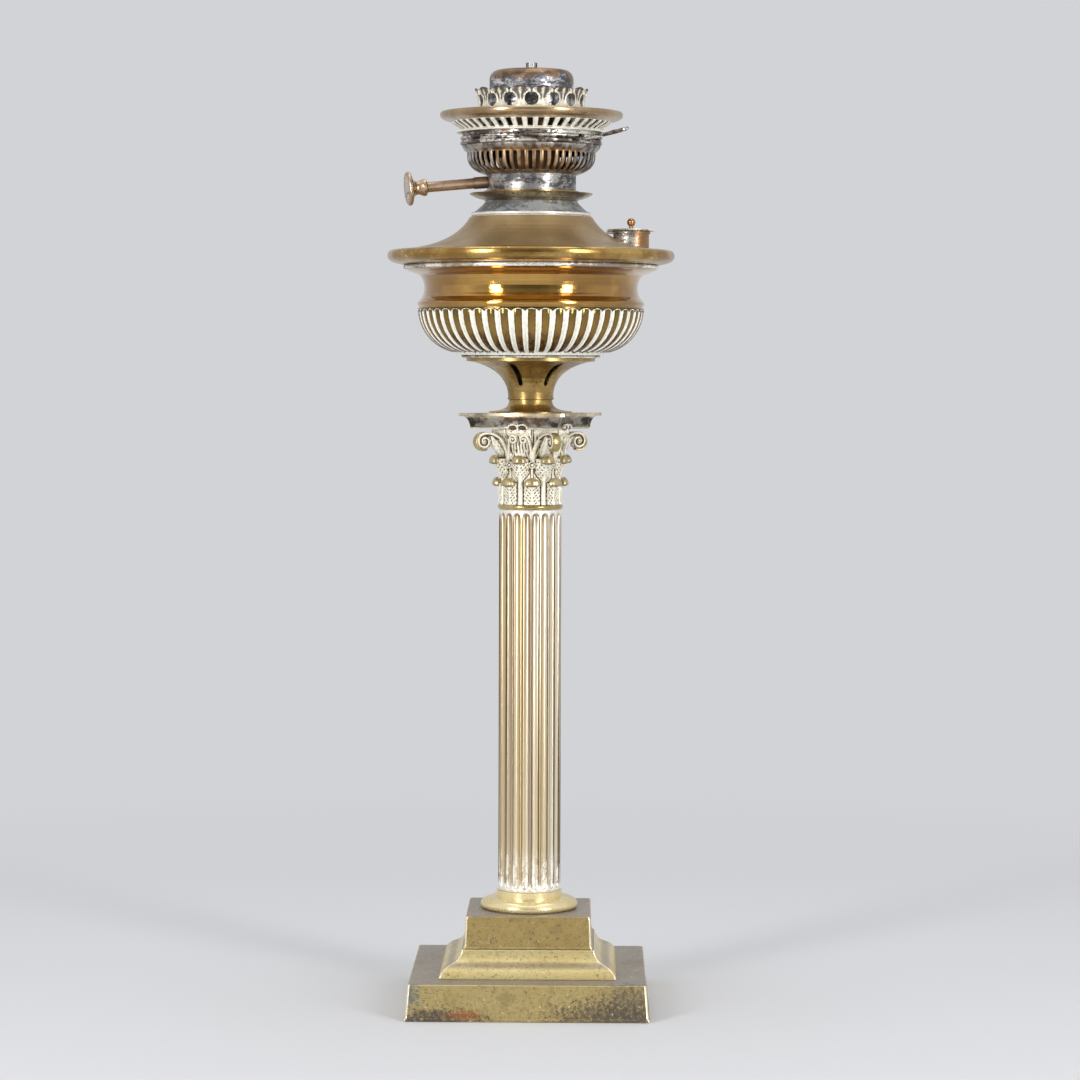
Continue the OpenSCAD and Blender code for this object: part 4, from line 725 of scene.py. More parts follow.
FLUTES = 20
FLUTE_FIRST = radians(11.4)
FLUTE_DEPTH = 1.5 * MM
FLUTE_MARGIN = 2.2 * MM
FLUTE_SHARE = 0.78
COLUMN_WALL = 4 * MM


def make_column():
    """Round-ended flutes between narrow fillets, with pale residue at their ends."""
    per_flute = 18
    n = FLUTES * per_flute
    turn = FLUTE_FIRST + (np.arange(n) - per_flute / 2) * 2 * pi / n
    u = np.abs((np.arange(n) % per_flute) / per_flute - 0.5) * 2
    bottom, top, outer = low("column").z, high("column").z, high("column").x
    half = pi * outer / FLUTES * FLUTE_SHARE
    side = u * pi * outer / FLUTES
    ends = np.concatenate((np.linspace(0, 1.4 * half, 12), [2 * half, 4 * half, 8 * half]))
    heights = [0.0, FLUTE_MARGIN * 0.96, *(FLUTE_MARGIN + ends[1:])]
    span = top - bottom
    middle = list(np.linspace(heights[-1] * 1.3, span / 2, 8))
    levels = heights + middle + [span - h for h in reversed(heights + middle[:-1])]
    rings, groove, pale = [], [], []
    for level in levels:
        from_end = min(level, span - level) - FLUTE_MARGIN
        reach = half if from_end > half else math.sqrt(max(0.0, half**2 - (half - max(from_end, 0)) ** 2))
        inside = np.clip(1 - side / reach, 0, 1) if reach > 0 else 0 * side
        hollow = np.sqrt(np.clip(1 - (1 - inside) ** 2, 0, 1)) * min(1.0, reach / half * 1.05)
        rings.append(circle(outer - FLUTE_DEPTH * hollow, turn, bottom + level))
        groove.append(hollow)
        pale.append(np.full(n, 1 - smooth(from_end, 0.2 * half, 2.2 * half)))
    for level in (span, 0.0):
        rings.append(circle(outer - COLUMN_WALL, turn, bottom + level))
        groove.append(np.zeros(n))
        pale.append(np.zeros(n))
    ringed("fluted_column", rings, "column", "column_brass", ["column"], groove=groove, pale=pale)


# Stepped base

SIDE_POINTS = 14
CORNER_POINTS = 7


def square_ring(half, z, round_r):
    """A square outline with rounded corners at one height, walked round from +X."""
    round_r = min(round_r, half * 0.9)
    inner = half - round_r
    side = [(half, y) for y in np.linspace(-inner, inner, SIDE_POINTS)]
    turns = np.linspace(0, pi / 2, CORNER_POINTS + 2)[1:-1]
    bend = [(inner + round_r * cos(a), inner + round_r * sin(a)) for a in turns]
    points = []
    for c, n in ((1, 0), (0, 1), (-1, 0), (0, -1)):
        points += [(x * c - y * n, x * n + y * c, z) for x, y in side + bend]
    return np.array(points)


def make_tier(name, node, outline, inner, round_r):
    """One hollow tier: outline and inner are half widths and heights above its foot, in millimetres.
    The third value in outline is how worn that level is; the material paints it pale, partly as a painted
    highlight."""
    per = SIDE_POINTS + CORNER_POINTS
    sharp = np.zeros(4 * per)
    for k in range(4):
        for i in range(-1, CORNER_POINTS):
            sharp[(k * per + SIDE_POINTS + i) % (4 * per)] = 1.0 if 0 <= i < CORNER_POINTS - 1 else 0.4
    top, last_half = max(z for _, z, _ in outline), outline[-1][0]
    rings, worn, tone = [], [], []
    # Corners and bends are marked worn, which the material paints pale as wear and as a highlight.
    for half, z, edge in outline:
        rings.append(square_ring(half, z, round_r))
        worn.append(np.maximum(sharp * (half > last_half + 4 and z < top - 0.05), edge))
        tone.append(0 * sharp)
    for half, z in inner:
        rings.append(square_ring(half, z, round_r * 0.5))
        worn.append(0 * sharp)
        tone.append(1 + 0 * sharp)
    rings = np.array(rings) * MM
    rings[:, :, 2] += low(node).z
    ringed(name, rings, "base", "base_brass", [node], worn=worn, inside=tone)


def eased(points, radius, steps=4):
    """An outline of half widths and heights with its turns rounded; the third value marks the bends."""
    result = []
    points = [np.array(p, float) for p in points]
    for i, p in enumerate(points):
        if i in (0, len(points) - 1):
            result.append((*p, 0.0))
            continue
        before, after = points[i - 1] - p, points[i + 1] - p
        reach = min(radius, np.linalg.norm(before) * 0.45, np.linalg.norm(after) * 0.45)
        a, b = p + before / np.linalg.norm(before) * reach, p + after / np.linalg.norm(after) * reach
        bend = 1 - abs(np.dot(before, after) / np.linalg.norm(before) / np.linalg.norm(after))
        for t in np.linspace(0, 1, steps + 1):
            q = (1 - t) ** 2 * a + 2 * t * (1 - t) * p + t * t * b
            result.append((*q, bend * (1 - abs(2 * t - 1) * 0.6)))
    return result


def with_sides(points, step):
    """More levels on the long stretches, so that marks stay near their edges."""
    result = [points[0]]
    for a, b in zip(points, points[1:]):
        a, b = np.array(a), np.array(b)
        length = np.linalg.norm((b - a)[:2])
        if length > 2.5 * step:
            share = step / length
            first, last = a + (b - a) * share, b - (b - a) * share
            first[2] = last[2] = 0
            middle = (first + last) / 2
            result += [tuple(first), tuple(middle), tuple(last)]
        result.append(tuple(b))
    return result


def make_base():
    slab = [(74, 0), (75, 0.4), (75, 1.6), (74.3, 2.3), (72.7, 21.9), (72.2, 22.4), (47.6, 22.4)]
    make_tier("slab_tier", "base_slab", with_sides(eased(slab, 0.5), 0.8),
              [(47.6, 20.0), (70.3, 20.0), (71.9, 0.0)], 1.6)
    tall, wide, narrow = 16.3, 54.6, 41.3
    pulls = (wide - 3.2, tall * 0.62), (narrow + 2.4, tall * 0.34)
    curve = bezier((wide, 0.9), *pulls, (narrow, tall * 0.93), 14)
    ogee = [(wide - 0.5, 0, 0.2), (wide, 0.3, 0.8), (wide, 0.9, 0.3)] + [(*q, 0.0) for q in curve[1:-1]]
    ogee += [(narrow, tall * 0.93, 0.1), (narrow, tall - 0.4, 0.5), (narrow - 0.4, tall, 0.8),
             (narrow - 1.2, tall, 0.0), (33, tall, 0.0)]
    hollow = [(33, tall - 2.4), (narrow - 2.4, tall - 2.4), (narrow + 1.5, 6.0)]
    hollow += [(wide - 4, 2.0), (wide - 4, 0.0)]
    make_tier("ogee_tier", "base_ogee", ogee, hollow, 1.2)
    block = [(39.4, 0), (40, 0.3), (40, 0.9), (39.2, 1.6), (38.5, 19.5), (37.8, 20.2), (4.5, 20.2)]
    make_tier("block_tier", "base_block", with_sides(eased(block, 0.5), 0.8),
              [(4.5, 17.8), (36, 17.8), (36.8, 0.0)], 1.3)


# Capital

CAPITAL_TURN = radians(-18.5)
EIGHTH = pi / 4


def bell_radius(z):
    heights = (0, 2, 10, 20, 28, 34, 38, 41, 43.2, 44.4, 46.9)
    radii = (18.7, 18.3, 18.1, 18.15, 18.35, 18.8, 19.4, 20.5, 22.0, 23.4, 23.4)
    return np.interp(z, heights, radii)


def ridge(x, width):
    return np.sqrt(np.clip(1 - (x / width) ** 2, 0, 1))


def herringbone(x, z, step, slope):
    phase = ((z - slope * np.abs(x)) / step) % 1
    bead = 0.6 + 0.4 * np.sin(np.abs(x) * 2.4 + z * 1.3)
    return crest(phase - 0.5, 0.19) * bead


def relief(turn, z):
    """How far the leaves, stalks and flowers stand out from the bell, in millimetres."""
    at_low = (turn % EIGHTH - EIGHTH / 2) * 20
    at_high = ((turn + EIGHTH / 2) % EIGHTH - EIGHTH / 2) * 20
    corner = np.round(turn / EIGHTH) % 2
    low_x, high_x = np.abs(at_low), np.abs(at_high)
    scallop = np.abs(np.sin(pi * z / 2.7))
    body = smooth(5.3 + 0.5 * scallop - low_x, 0, 0.9) * smooth(14.0 - z, 0, 1.2)
    cuts = herringbone(at_low, z, 2.35, 0.9) * smooth(low_x, 0.5, 1.2) * smooth(5.1 - low_x, 0, 0.8)
    low_leaf = body * (1.2 + 1.0 * smooth(z, 4, 13) - 0.85 * cuts + 0.45 * crest(at_low, 0.55))
    stalk = 1.9 * ridge(at_high, 1.75) * smooth(25 - z, 0, 2)
    grown = np.clip((z - 14.0) / 13.2, 0, 1)
    wide = 1.7 + 3.7 * smooth(grown, 0.0, 0.45) + 0.5 * scallop * smooth(grown, 0.2, 0.5)
    reach = np.where(corner > 0.5, 24.6, 21.8) - bell_radius(z)
    leaf = (0.9 + reach * grown**1.25) * ridge(at_high, wide) ** 0.7 * smooth(29.6 - z, 0, 1.8) * (grown > 0)
    cuts = herringbone(at_high, z, 2.3, 1.0) * smooth(high_x, 0.4, 1.1) * smooth(wide - high_x, 0.1, 1.0)
    leaf = leaf - 0.9 * cuts * smooth(grown, 0.12, 0.3) * (leaf > 0.3)
    rho = np.hypot(at_low, z - 24.8)
    flower = smooth(2.7 - rho, 0, 0.6) * 1.2 + 0.8 * crest(rho - 2.0, 0.4) + 0.9 * crest(rho, 0.7)
    stem = 1.1 * ridge(at_low, 0.8) * smooth(z, 15, 16) * smooth(24 - z, 0, 1)
    bud_w = 0.2 + 2.3 * np.sin(pi * np.clip((z - 27.2) / 6.4, 0, 1))
    bud = 1.9 * ridge(at_low, bud_w) * (1 - 0.5 * crest(at_low, 0.35))
    splay = 1.3 * crest(low_x - 1.6 - 0.42 * (z - 28), 0.6) * smooth(z, 27, 28.5) * smooth(36 - z, 0, 2)
    lift = np.maximum.reduce((low_leaf, stalk, leaf, flower, stem, bud, splay))
    hollow = smooth(z, 30.5, 33) * smooth(43.4 - z, 0, 1)
    lift = lift + 0.35 * hollow * np.sin(at_high * 2.9 + 0.5 * np.sin(z * 0.9))
    face = ((turn + EIGHTH) % (2 * EIGHTH) - EIGHTH) * 23.4
    gem = smooth(1 - np.abs(face) / 1.7 - np.abs(z - 45.4) / 1.1, 0, 0.4) * 0.7
    curl = np.hypot(np.abs(face) - 4.6, (z - 45.5) * 1.2)
    return lift + gem + 0.6 * crest(curl - 0.9, 0.3)


def averaged(field, across, up):
    total = sum(np.roll(field, k, axis=1) for k in range(-across, across + 1)) / (2 * across + 1)
    padded = np.pad(total, ((up, up), (0, 0)), mode="edge")
    return sum(padded[k : k + field.shape[0]] for k in range(2 * up + 1)) / (2 * up + 1)


def make_bell():
    n, rows = 720, 118
    turn, z = np.meshgrid(np.arange(n) * 2 * pi / n, np.linspace(0, 46.9, rows))
    lift = relief(turn, z)
    # Painted shade: darker where the relief sinks below its near and wider surroundings, and in the band
    # under the volutes. The worn mark turns high spots gold, partly wear and partly a painted highlight.
    hollow = np.clip((averaged(lift, 4, 2) - lift) / 0.24, 0, 1)
    deep = np.clip((averaged(lift, 13, 5) - lift) / 1.3, 0, 1)
    worn = np.clip((lift - averaged(lift, 6, 2)) / 0.5, 0, 1)
    shade = np.maximum(hollow, deep * 0.6)
    shade = np.maximum(shade, 0.2 * smooth(z, 31, 34) * smooth(43.8 - z, 0, 1))
    radius = bell_radius(z) + lift
    angle = turn + CAPITAL_TURN
    rings = np.stack((radius * np.cos(angle), radius * np.sin(angle), z), 2)
    bore = [rings[-1] * (12 / radius[-1, :, None]), rings[0] * (12 / radius[0, :, None])]
    bore[0][:, 2], bore[1][:, 2] = 46.9, 0
    rings = np.concatenate((rings, np.array(bore))) * MM
    rings[:, :, 2] += low("capital").z
    flat = np.zeros((2, n))
    ringed("capital_bell", rings, "cast", "capital_brass", ["capital", "lower_leaves", "upper_leaves"],
           shade=np.concatenate((shade, flat)), worn=np.concatenate((worn, flat)))


def placed(points, angle):
    """Points with X outwards, turned to an angle of the capital and raised to its foot."""
    points = np.asarray(points, float) * MM
    c, n = cos(angle + CAPITAL_TURN), sin(angle + CAPITAL_TURN)
    x, y = points[..., 0] * c - points[..., 1] * n, points[..., 0] * n + points[..., 1] * c
    return np.stack((x, y, points[..., 2] + low("capital").z), -1)


# Rounds of a leaf's rolled tip: degrees above its middle, and share of its full size
TIP_ROUNDS = (0, 0.45), (-8, 0.86), (-4, 0.98), (4, 1), (18, 1), (34, 1), (50, 1), (66, 1), (80, 1), (88, 1)
TIP_TALL = 4.5


def make_tips():
    """The rolled tips of both rows of leaves, each a lobed knob."""
    form = Form()
    around = np.linspace(0, 2 * pi, 28, endpoint=False)
    lobe = 1 + 0.045 * np.cos(around * 7)
    for k in range(16):
        upper = k % 2 == 0
        reach = (25.0 if k % 4 == 2 else 21.9) if upper else 20.9
        z, wide = (26.4, 4.7) if upper else (12.4, 5.3)
        rings, shade = [], []
        for above, scale in TIP_ROUNDS:
            size = scale * cos(radians(above)) * lobe
            drop = -1.1 if scale < 0.5 else TIP_TALL * sin(radians(above))
            rings.append(np.stack((reach + 2.9 * size * np.cos(around), wide * size * np.sin(around),
                                   z + drop + 0 * around), 1))
            # Painted shade: the underside and the lower half of each knob are marked dark.
            shade.append(np.full(len(around), 1.0 if scale < 0.9 else 0.25 * (above < 10)))
        form.rings(placed(rings, k * EIGHTH / 2), shade=shade, gold=0.9)
    form.piece("leaf_tips", "cast", "stand", "capital_brass", ["lower_leaves", "upper_leaves"])


# Directions in which a band's width may lie, with X outwards from the capital
SIDEWAYS = np.array([0.0, 1.0, 0.0])
OUTWARDS = np.array([1.0, 0.0, 0.0])


def path_axes(path, across):
    """Directions square to a path and to the width of its band."""
    ahead = np.gradient(path, axis=0)
    ahead /= np.linalg.norm(ahead, axis=1)[:, None]
    out = np.cross(ahead, across)
    return out / np.linalg.norm(out, axis=1)[:, None]


def sweep(form, path, across, wide, thick, angle, outs=None, **marks):
    """A band with rounded edges, carried along a path; its width lies along across."""
    path = np.asarray(path)
    outs = path_axes(path, across) if outs is None else outs
    around = np.linspace(0, 2 * pi, 12, endpoint=False)
    u = np.sign(np.cos(around)) * np.abs(np.cos(around)) ** 0.6
    v = np.sign(np.sin(around)) * np.abs(np.sin(around)) ** 0.6
    sizes = np.broadcast_to(wide, len(path)), np.broadcast_to(thick, len(path))
    rings = [
        p + np.outer(u, o) * t / 2 + np.outer(v, across) * w / 2
        for p, o, w, t in zip(path, outs, *sizes)
    ]
    form.rings(placed(rings, angle), **marks)


def scroll_path(start, pull_start, pull_end, centre, first_r, last_r, turns):
    """A stem that rises to the top of a spiral and runs inwards along it; X out, Y across, Z up."""
    path = bezier(start, pull_start, pull_end, centre + [0, 0, first_r], 12)
    for t in np.linspace(0, 1, 40)[1:]:
        a = pi / 2 - t * turns * 2 * pi
        q = first_r + (last_r - first_r) * t**0.8
        path.append(centre + [q * cos(a), 0, q * sin(a)])
    return np.array(path)


VOLUTE_MIDDLE = np.array([32.5, 0, 39.2])
# The web behind a volute: distance outwards and height
KEEL = (18.2, 29), (18.8, 40.5), (24, 43.6), (28.5, 43.4), (27.4, 40), (26.4, 36.4), (23.6, 33.2), (20.6, 30)


def make_scrolls():
    """The corner volutes, each a pair of spirals back to back with a gold rim round them."""
    form = Form()
    centre = VOLUTE_MIDDLE
    around = np.linspace(0, 2 * pi, 30, endpoint=False)

    def disc(radius, y):
        x, z = centre[0] + radius * np.cos(around), centre[2] + radius * np.sin(around)
        return np.stack((x, y + 0 * around, z), 1)

    for k in range(4):
        angle = (2 * k + 1) * EIGHTH
        for side in (-1, 1):
            path = scroll_path((18.9, side * 7.4, 26.5), (19.4, side * 7.6, 39), (24.6, side * 2.6, 45.0),
                               centre + [0, side * 1.55, 0], 5.0, 1.0, 1.6)
            t = np.linspace(0, 1, len(path))
            sweep(form, path, SIDEWAYS, 2.6 - 0.6 * t, 1.9 - 0.9 * t, angle, shade=0.0, gold=0.25)
            # A sunk groove along the spiral, marked dark as painted shade.
            outs, part = path_axes(path, SIDEWAYS), slice(6, 34)
            groove = (path - outs * 0.95)[part]
            sweep(form, groove, SIDEWAYS, 2.9 - 0.5 * t[part], 0.55, angle, outs[part], shade=0.8, gold=0.0)
            eye = [disc(1.25 * cos(b), side * (2.1 + 1.1 * sin(b))) for b in np.linspace(-0.3, 1.45, 6)]
            form.rings(placed(eye, angle), shade=0.0, gold=0.6)
        # The disc between the two spirals is marked dark as painted shade.
        form.rings(placed([disc(4.9, y) for y in (-1.9, 1.9)], angle), shade=0.55, gold=0.0)
        rim = [centre + [5.5 * cos(a), 0, 5.5 * sin(a)] for a in np.radians(np.linspace(78, -112, 26))]
        swell = np.sin(np.linspace(0.25, pi - 0.25, len(rim)))
        sweep(form, rim, SIDEWAYS, 3.6 + 1.8 * swell, 0.7 + 0.6 * swell, angle, shade=0.0, gold=1.0)
        # The web behind the volute stands in for the shade there and is marked a little dark as painted
        # shade.
        plate = [[(x, y, z) for x, z in KEEL] for y in (-2.2, 2.2)]
        form.rings(placed(plate, angle), shade=0.3, gold=0.0)
        for side in (-1, 1):
            for i in range(4):
                x, y, z = 19.6 + i * 1.9, side * 3.2, 31.6 + i * 2.2
                frond = bezier((x, side * 2.3, z), (x + 0.6, y, z + 2.4), (x + 1.6, y, z + 3.6),
                               (x + 3.2, side * 2.2, z + 4.4), 7)
                sweep(form, frond, SIDEWAYS, 1.4, 0.9, angle, shade=0.1, gold=0.1)
    form.piece("corner_volutes", "cast", "stand", "capital_brass", ["capital"])


def make_helices():
    """The small spirals that meet under the middle of each side, and the flower above them."""
    form = Form()
    around = np.linspace(0, 2 * pi, 20, endpoint=False)
    for k in range(4):
        angle = 2 * k * EIGHTH
        for side in (-1, 1):
            path = bezier((18.7, 7.3, 27.5), (19.6, 7.6, 36), (21.6, 6.8, 42.9), (22.6, 3.9, 42.9), 12)
            for t in np.linspace(0, 1, 26)[1:]:
                a = pi / 2 + t * 1.25 * 2 * pi
                q = 2.5 - 1.9 * t
                path.append(np.array([22.6 + 0.5 * t, 3.6 + q * cos(a), 40.4 + q * sin(a)]))
            path = np.array(path) * [1, side, 1]
            t = np.linspace(0, 1, len(path))
            sweep(form, path, OUTWARDS, 2.8, 1.35 - 0.45 * t, angle, shade=0.0, gold=0.15)
        for y in (-3.1, 3.1):
            # The lobes under the arches are marked dark as painted shade.
            lobe = [
                np.stack((23.6 + 1.6 * sin(b) + 0 * around, y + 2.7 * cos(b) * np.cos(around),
                          47.9 + 1.5 * cos(b) * np.sin(around)), 1)
                for b in np.linspace(-1.2, 1.45, 8)
            ]
            form.rings(placed(lobe, angle), shade=0.85, gold=0.0)
            arch = [(24.2, y + 3.1 * cos(a), 47.7 + 2.1 * sin(a)) for a in np.linspace(-0.2, pi + 0.2, 14)]
            sweep(form, arch, OUTWARDS, 2.2, 0.8, angle, shade=0.0, gold=0.0)
        stem = [(23.9, 0.0, z) for z in np.linspace(44.4, 50.2, 6)]
        sweep(form, stem, OUTWARDS, 2.0, 1.0, angle, shade=0.1, gold=0.0)
    form.piece("inner_helices", "cast", "stand", "capital_brass", ["capital"])


# Pierced walls


def make_slotted(name, node, outer, inner, slots, open_rows, bulge, first, look, body):
    """A spun wall pierced by slots that take half of the turn. outer and inner are radii and heights
    above the node's foot, in millimetres, from the bottom up; open_rows are the rows with slots."""
    per, slat, rows = 12, 6, len(outer)
    n = slots * per
    turn = first + (np.arange(n) - slat / 2) * 2 * pi / n + pi / slots
    u = (np.arange(n) % per) / slat * 2 - 1
    foot = low(node).z / MM
    points, inside, edge = [], [], []
    for path, is_inner in ((outer, False), (inner, True)):
        for row, (radius, z) in enumerate(path):
            near_slot = open_rows[0] <= row <= open_rows[1] and not is_inner
            swell = bulge * np.sqrt(np.clip(1 - u**2, 0, 1)) * near_slot
            points.append(circle(radius + swell, turn, foot + z))
            # Inward faces and the slat edges beside the slots are marked, for painted shade.
            inside.append(np.full(n, float(is_inner)))
            edge.append(np.where(np.abs(u) > 0.85, 0.5, 0.0) * near_slot)
    points = np.concatenate(points) * MM

    def solid(row, column):
        in_slot = open_rows[0] <= row < open_rows[1] and column % per >= slat
        return 0 <= row < rows - 1 and not in_slot

    faces, back = [], rows * n
    for row in range(rows - 1):
        for column in range(n):
            if not solid(row, column):
                continue
            a, b = row * n + column, row * n + (column + 1) % n
            c, d = b + n, a + n
            faces += [(a, b, c, d), (back + d, back + c, back + b, back + a)]
            sides = (
                ((row - 1, column), b, a), ((row + 1, column), d, c),
                ((row, (column - 1) % n), a, d), ((row, (column + 1) % n), c, b),
            )
            faces += [(i, j, j + back, i + back) for other, i, j in sides if not solid(*other)]
    used = sorted({i for face in faces for i in face})
    new = {old: i for i, old in enumerate(used)}
    faces = [tuple(new[i] for i in face) for face in faces]
    piece = new_piece(name, points[used], faces, look, body, [node])
    mark(piece, {"inside": np.concatenate(inside)[used], "edge": np.concatenate(edge)[used]})


def spun_inside(outer, wall):
    """The inner side of a spun wall, square to the outer one."""
    path = np.array(outer, float)
    ahead = np.gradient(path, axis=0)
    ahead /= np.linalg.norm(ahead, axis=1)[:, None]
    return path + wall * np.stack((-ahead[:, 1], ahead[:, 0]), 1)


BASKET_SLOTS = 52
BAND_SLOTS = 45
BAND_FIRST = radians(6)


def make_basket():
    outer = [(27.9, 0.0)] + bezier((29.2, 0.3), (38.7, 3.6), (39.6, 8), (39.6, 13.0), 16)
    outer += bezier((39.6, 13.6), (41.5, 15.0), (42.8, 16.2), (43.1, 18), 7)
    inner = spun_inside(outer, 1.0)
    inner[:, 1] = np.clip(inner[:, 1], 0.02, 18)
    first_open = next(i for i, p in enumerate(outer) if p[0] > 31.6)
    last_open = next(i for i, p in enumerate(outer) if p[1] > 12.4)
    make_slotted("basket_slats", "burner_basket", outer, inner, BASKET_SLOTS, (first_open, last_open), 0.35,
                 0.0, "basket", "stand")


def make_band():
    outer = [(46.4, 0.0), (47.0, 0.25), (47.1, 0.6), (46.4, 1.0), (43.6, 1.25), (43.2, 1.6)]
    outer += bezier((43.3, 1.9), (44.3, 3.4), (47.9, 4.6), (49.7, 6.4), 8) + [(50.0, 6.9)]
    inner = [(41.0, 0.0), (41.0, 0.2), (41.0, 0.4), (41.2, 0.6), (41.8, 0.9), (42.2, 1.4)]
    inner += [(r - 1.0, z + 0.45) for r, z in outer[6:14]] + [(48.8, 7.1)]
    make_slotted("band_ribs", "gallery_band", outer, inner, BAND_SLOTS, (6, 13), 0.5, BAND_FIRST, "band",
                 "gallery")


# Chimney crown

PRONGS = 15
CROWN_FIRST = radians(7)
CROWN_RADIUS = 32.35
HOLE_RADIUS = 4.15
HOLE_DROP = 8.2
HOLE_TOP = 3.4
PRONG_THICK = 0.56
PRONG_GAP = 0.12


def make_crown():
    """Lyre-shaped prongs between round openings, with flaring serrated tips."""
    form = Form()
    foot, top = low("chimney_crown").z / MM, high("chimney_crown").z / MM
    tip_r, tall = high("chimney_crown").x / MM, top - foot
    half_pitch = pi * CROWN_RADIUS / PRONGS
    level = tall - HOLE_DROP
    heights = [0.0, level - HOLE_RADIUS - 0.6, level - HOLE_RADIUS - 0.1]
    heights += list(level + HOLE_RADIUS * np.sin(np.linspace(-1.35, 0.95, 22)))
    heights += list(np.linspace(level + 3.9, tall, 12))

    def half_width(z):
        if z <= level - HOLE_RADIUS:
            return half_pitch
        if z <= level + HOLE_TOP:
            return half_pitch - math.sqrt(max(0.0, HOLE_RADIUS**2 - (z - level) ** 2)) - PRONG_GAP
        share = (z - level - HOLE_TOP) / (tall - level - HOLE_TOP)
        swell = 2.3 * sin(pi / 2 * min(1, share * 2.4))
        neck = half_pitch - math.sqrt(HOLE_RADIUS**2 - HOLE_TOP**2) - PRONG_GAP
        return (neck + swell) * (1 - share**3) ** 0.5 + 0.02

    def out_r(z):
        share = np.clip((z - level + 1) / (tall - level + 1), 0, 1)
        return CROWN_RADIUS + (tip_r - CROWN_RADIUS - 0.35) * share**2.0

    u = np.linspace(-1, 1, 13)
    keel = crest(u, 0.16)
    around = np.linspace(0, 2 * pi, 12, endpoint=False)
    for k in range(PRONGS):
        middle = CROWN_FIRST + (k + 0.5) * 2 * pi / PRONGS
        rings, shade, gold = [], [], []
        for z in heights:
            share = max(0.0, (z - level - HOLE_TOP) / (tall - level - HOLE_TOP))
            lift = 0.5 * np.abs(u) ** 4 * (z > level - HOLE_RADIUS) + 0.3 * keel * (z > level + 1)
            droop = 0.7 * share * np.abs(np.sin(u * 2.5 * pi))
            turn, r, height = middle + u * half_width(z) / CROWN_RADIUS, out_r(z - droop), foot + z - droop
            front = circle(r + PRONG_THICK / 2 + lift, turn, height)
            rings.append(np.concatenate((front, circle(r - PRONG_THICK / 2, turn, height)[::-1])))
            # Painted shade: the middle of each prong round the openings, between its raised edges, and its
            # inner face are marked dark; the tips are darkened too.
            pit = (1 - np.abs(u) ** 2.4) * smooth(z, level - 3.5, level + 1) * (1 - keel)
            shade += [np.maximum(pit * 0.9, 0.9 * smooth(share, 0.5, 0.9)), np.full(len(u), 0.7)]
            gold += [0.5 * smooth(level - 2 - z, 0, 3) * (1 - np.abs(u)), np.zeros(len(u))]
        form.rings(np.array(rings) * MM, shade=shade, gold=gold)
        for side in (-1, 1):
            a = middle + side * (half_width(level + 4.6) - 0.5) / CROWN_RADIUS
            curl = []
            for b in np.linspace(-1.4, 1.4, 7):
                x, y = out_r(level + 4.6) + 0.5 + 0.75 * cos(b) * np.cos(around), 0.75 * sin(b)
                z = foot + level + 4.3 + 0.9 * cos(b) * np.sin(around)
                curl.append(np.stack((x * cos(a) - y * sin(a), x * sin(a) + y * cos(a), z), 1))
            form.rings(np.array(curl) * MM, shade=0.1, gold=0.0)
    form.piece("crown_prongs", "crown", "gallery", "pale_brass", ["chimney_crown"])


# Stage and light

BACKDROP = "d2d3d6"


def seen_directly(look):
    """1 for rays from the camera, and for those that a gloss or a clear piece sends on."""
    rays = look.add("ShaderNodeLightPath").outputs
    either = look.math("MAXIMUM", rays["Is Camera Ray"], rays["Is Glossy Ray"])
    return look.math("MAXIMUM", either, rays["Is Transmission Ray"])


def studio_paper():
    """Pale paper that keeps the shadow near the lamp and is one plain tone farther off."""
    look = Look("studio_paper")
    near = look.distance((0, 0, 0))
    look.finish(BACKDROP, 0.9, 0.0)
    plain = look.add("ShaderNodeEmission")
    look.put(plain.inputs["Color"], BACKDROP)
    both = look.add("ShaderNodeMixShader")
    look.put(both.inputs[0], look.times(look.spread(near, 0.35, 1.1), seen_directly(look)))
    look.put(both.inputs[1], look.shader.outputs[0])
    look.put(both.inputs[2], plain.outputs[0])
    look.put(look.tree.nodes["Material Output"].inputs["Surface"], both.outputs[0])
    return look.material


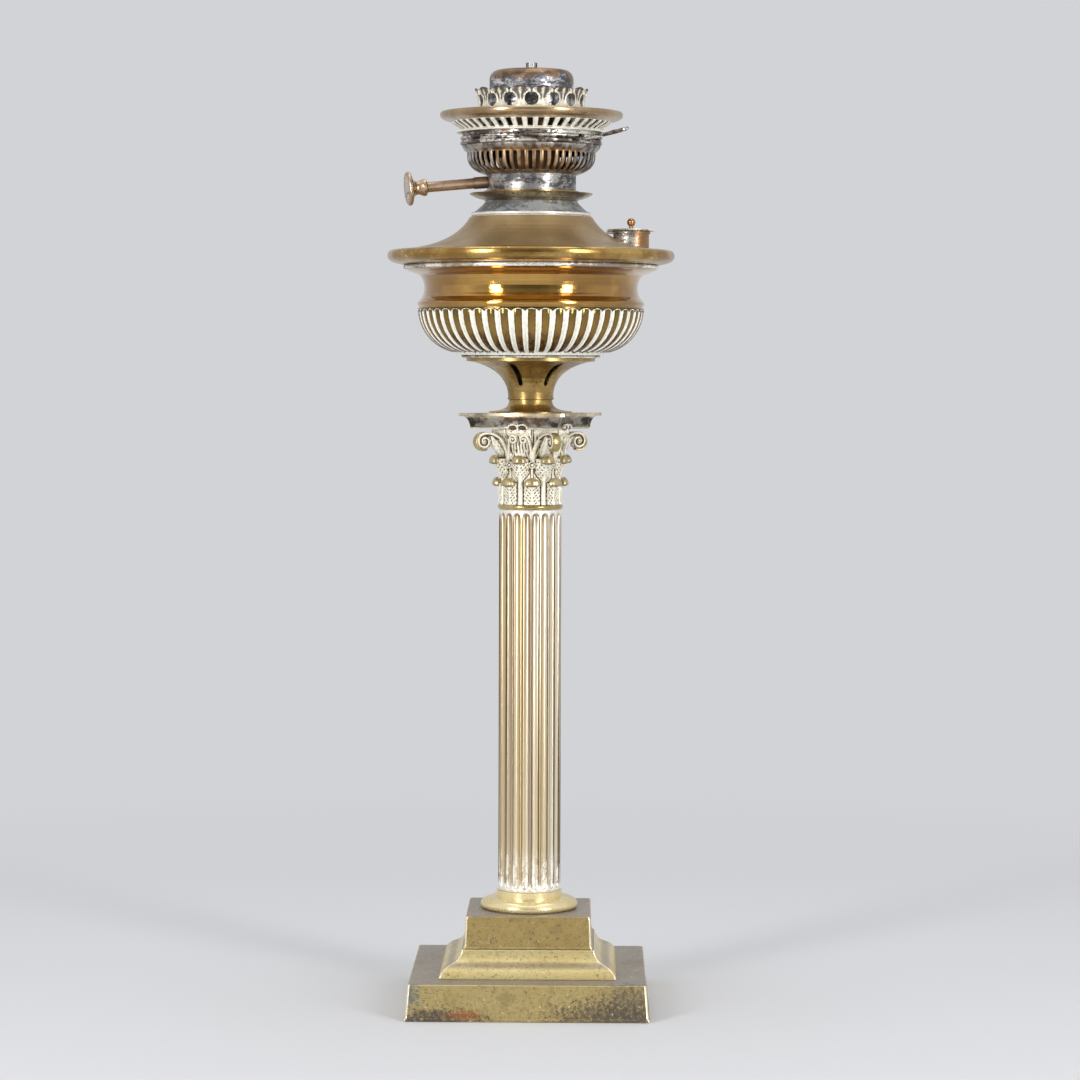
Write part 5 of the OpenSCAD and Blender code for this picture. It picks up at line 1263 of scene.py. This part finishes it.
def make_stage():
    reach, rise, bend, back = 9.0, 6.0, 1.2, 3.2
    profile = [(-reach, 0.0), (back - bend, 0.0)]
    profile += [(back - bend + bend * sin(a), bend - bend * cos(a)) for a in np.linspace(0.1, pi / 2, 16)]
    profile += [(back, rise)]
    points = [(x, y, z) for x in (-reach, reach) for y, z in profile]
    n = len(profile)
    faces = [(i, i + n, i + n + 1, i + 1) for i in range(n - 1)]
    mesh = bpy.data.meshes.new("studio_sweep")
    mesh.from_pydata(points, [], faces)
    mesh.polygons.foreach_set("use_smooth", [True] * len(mesh.polygons))
    sweep = bpy.data.objects.new("studio_sweep", mesh)
    bpy.context.scene.collection.objects.link(sweep)
    mesh.materials.append(studio_paper())


def lamp(name, azimuth, distance, height, size, power):
    """A softbox that faces the lamp, placed by its angle from the camera's side."""
    data = bpy.data.lights.new(name, "AREA")
    data.shape, data.size, data.size_y = "RECTANGLE", size[0], size[1]
    data.energy = power
    light = bpy.data.objects.new(name, data)
    angle = radians(azimuth)
    light.location = (distance * sin(angle), -distance * cos(angle), height)
    light.rotation_euler = (Vector((0, 0, 0.3)) - light.location).to_track_quat("-Z", "Y").to_euler()
    bpy.context.scene.collection.objects.link(light)


# Distance, height, size and power of the two softboxes
SOFTBOX = 2.0, 0.75, (0.36, 1.6), 23


def make_light():
    lamp("left_softbox", -37, *SOFTBOX)
    lamp("right_softbox", 40, *SOFTBOX)
    lamp("top_fill", 180, 0.3, 2.6, (1.8, 1.8), 14)
    world = bpy.data.worlds.new("studio")
    bpy.context.scene.world = world
    world.use_nodes = True
    tree = world.node_tree
    back = tree.nodes["Background"]
    place = tree.nodes.new("ShaderNodeTexCoord")
    split = tree.nodes.new("ShaderNodeSeparateXYZ")
    ramp = tree.nodes.new("ShaderNodeMapRange")
    tree.links.new(place.outputs["Generated"], split.inputs[0])
    tree.links.new(split.outputs["Y"], ramp.inputs["Value"])
    ramp.inputs["From Min"].default_value, ramp.inputs["From Max"].default_value = -1.0, -0.3
    ramp.inputs["To Min"].default_value, ramp.inputs["To Max"].default_value = 0.13, 0.82
    tree.links.new(ramp.outputs["Result"], back.inputs["Color"])
    back.inputs["Strength"].default_value = 1.0
    bpy.context.scene.view_settings.view_transform = "Standard"


make_camera()
make_materials()
dress_nodes()
make_base()
make_bowl()
make_column()
make_bell()
make_tips()
make_scrolls()
make_helices()
make_crown()
make_basket()
make_band()
make_stage()
make_light()
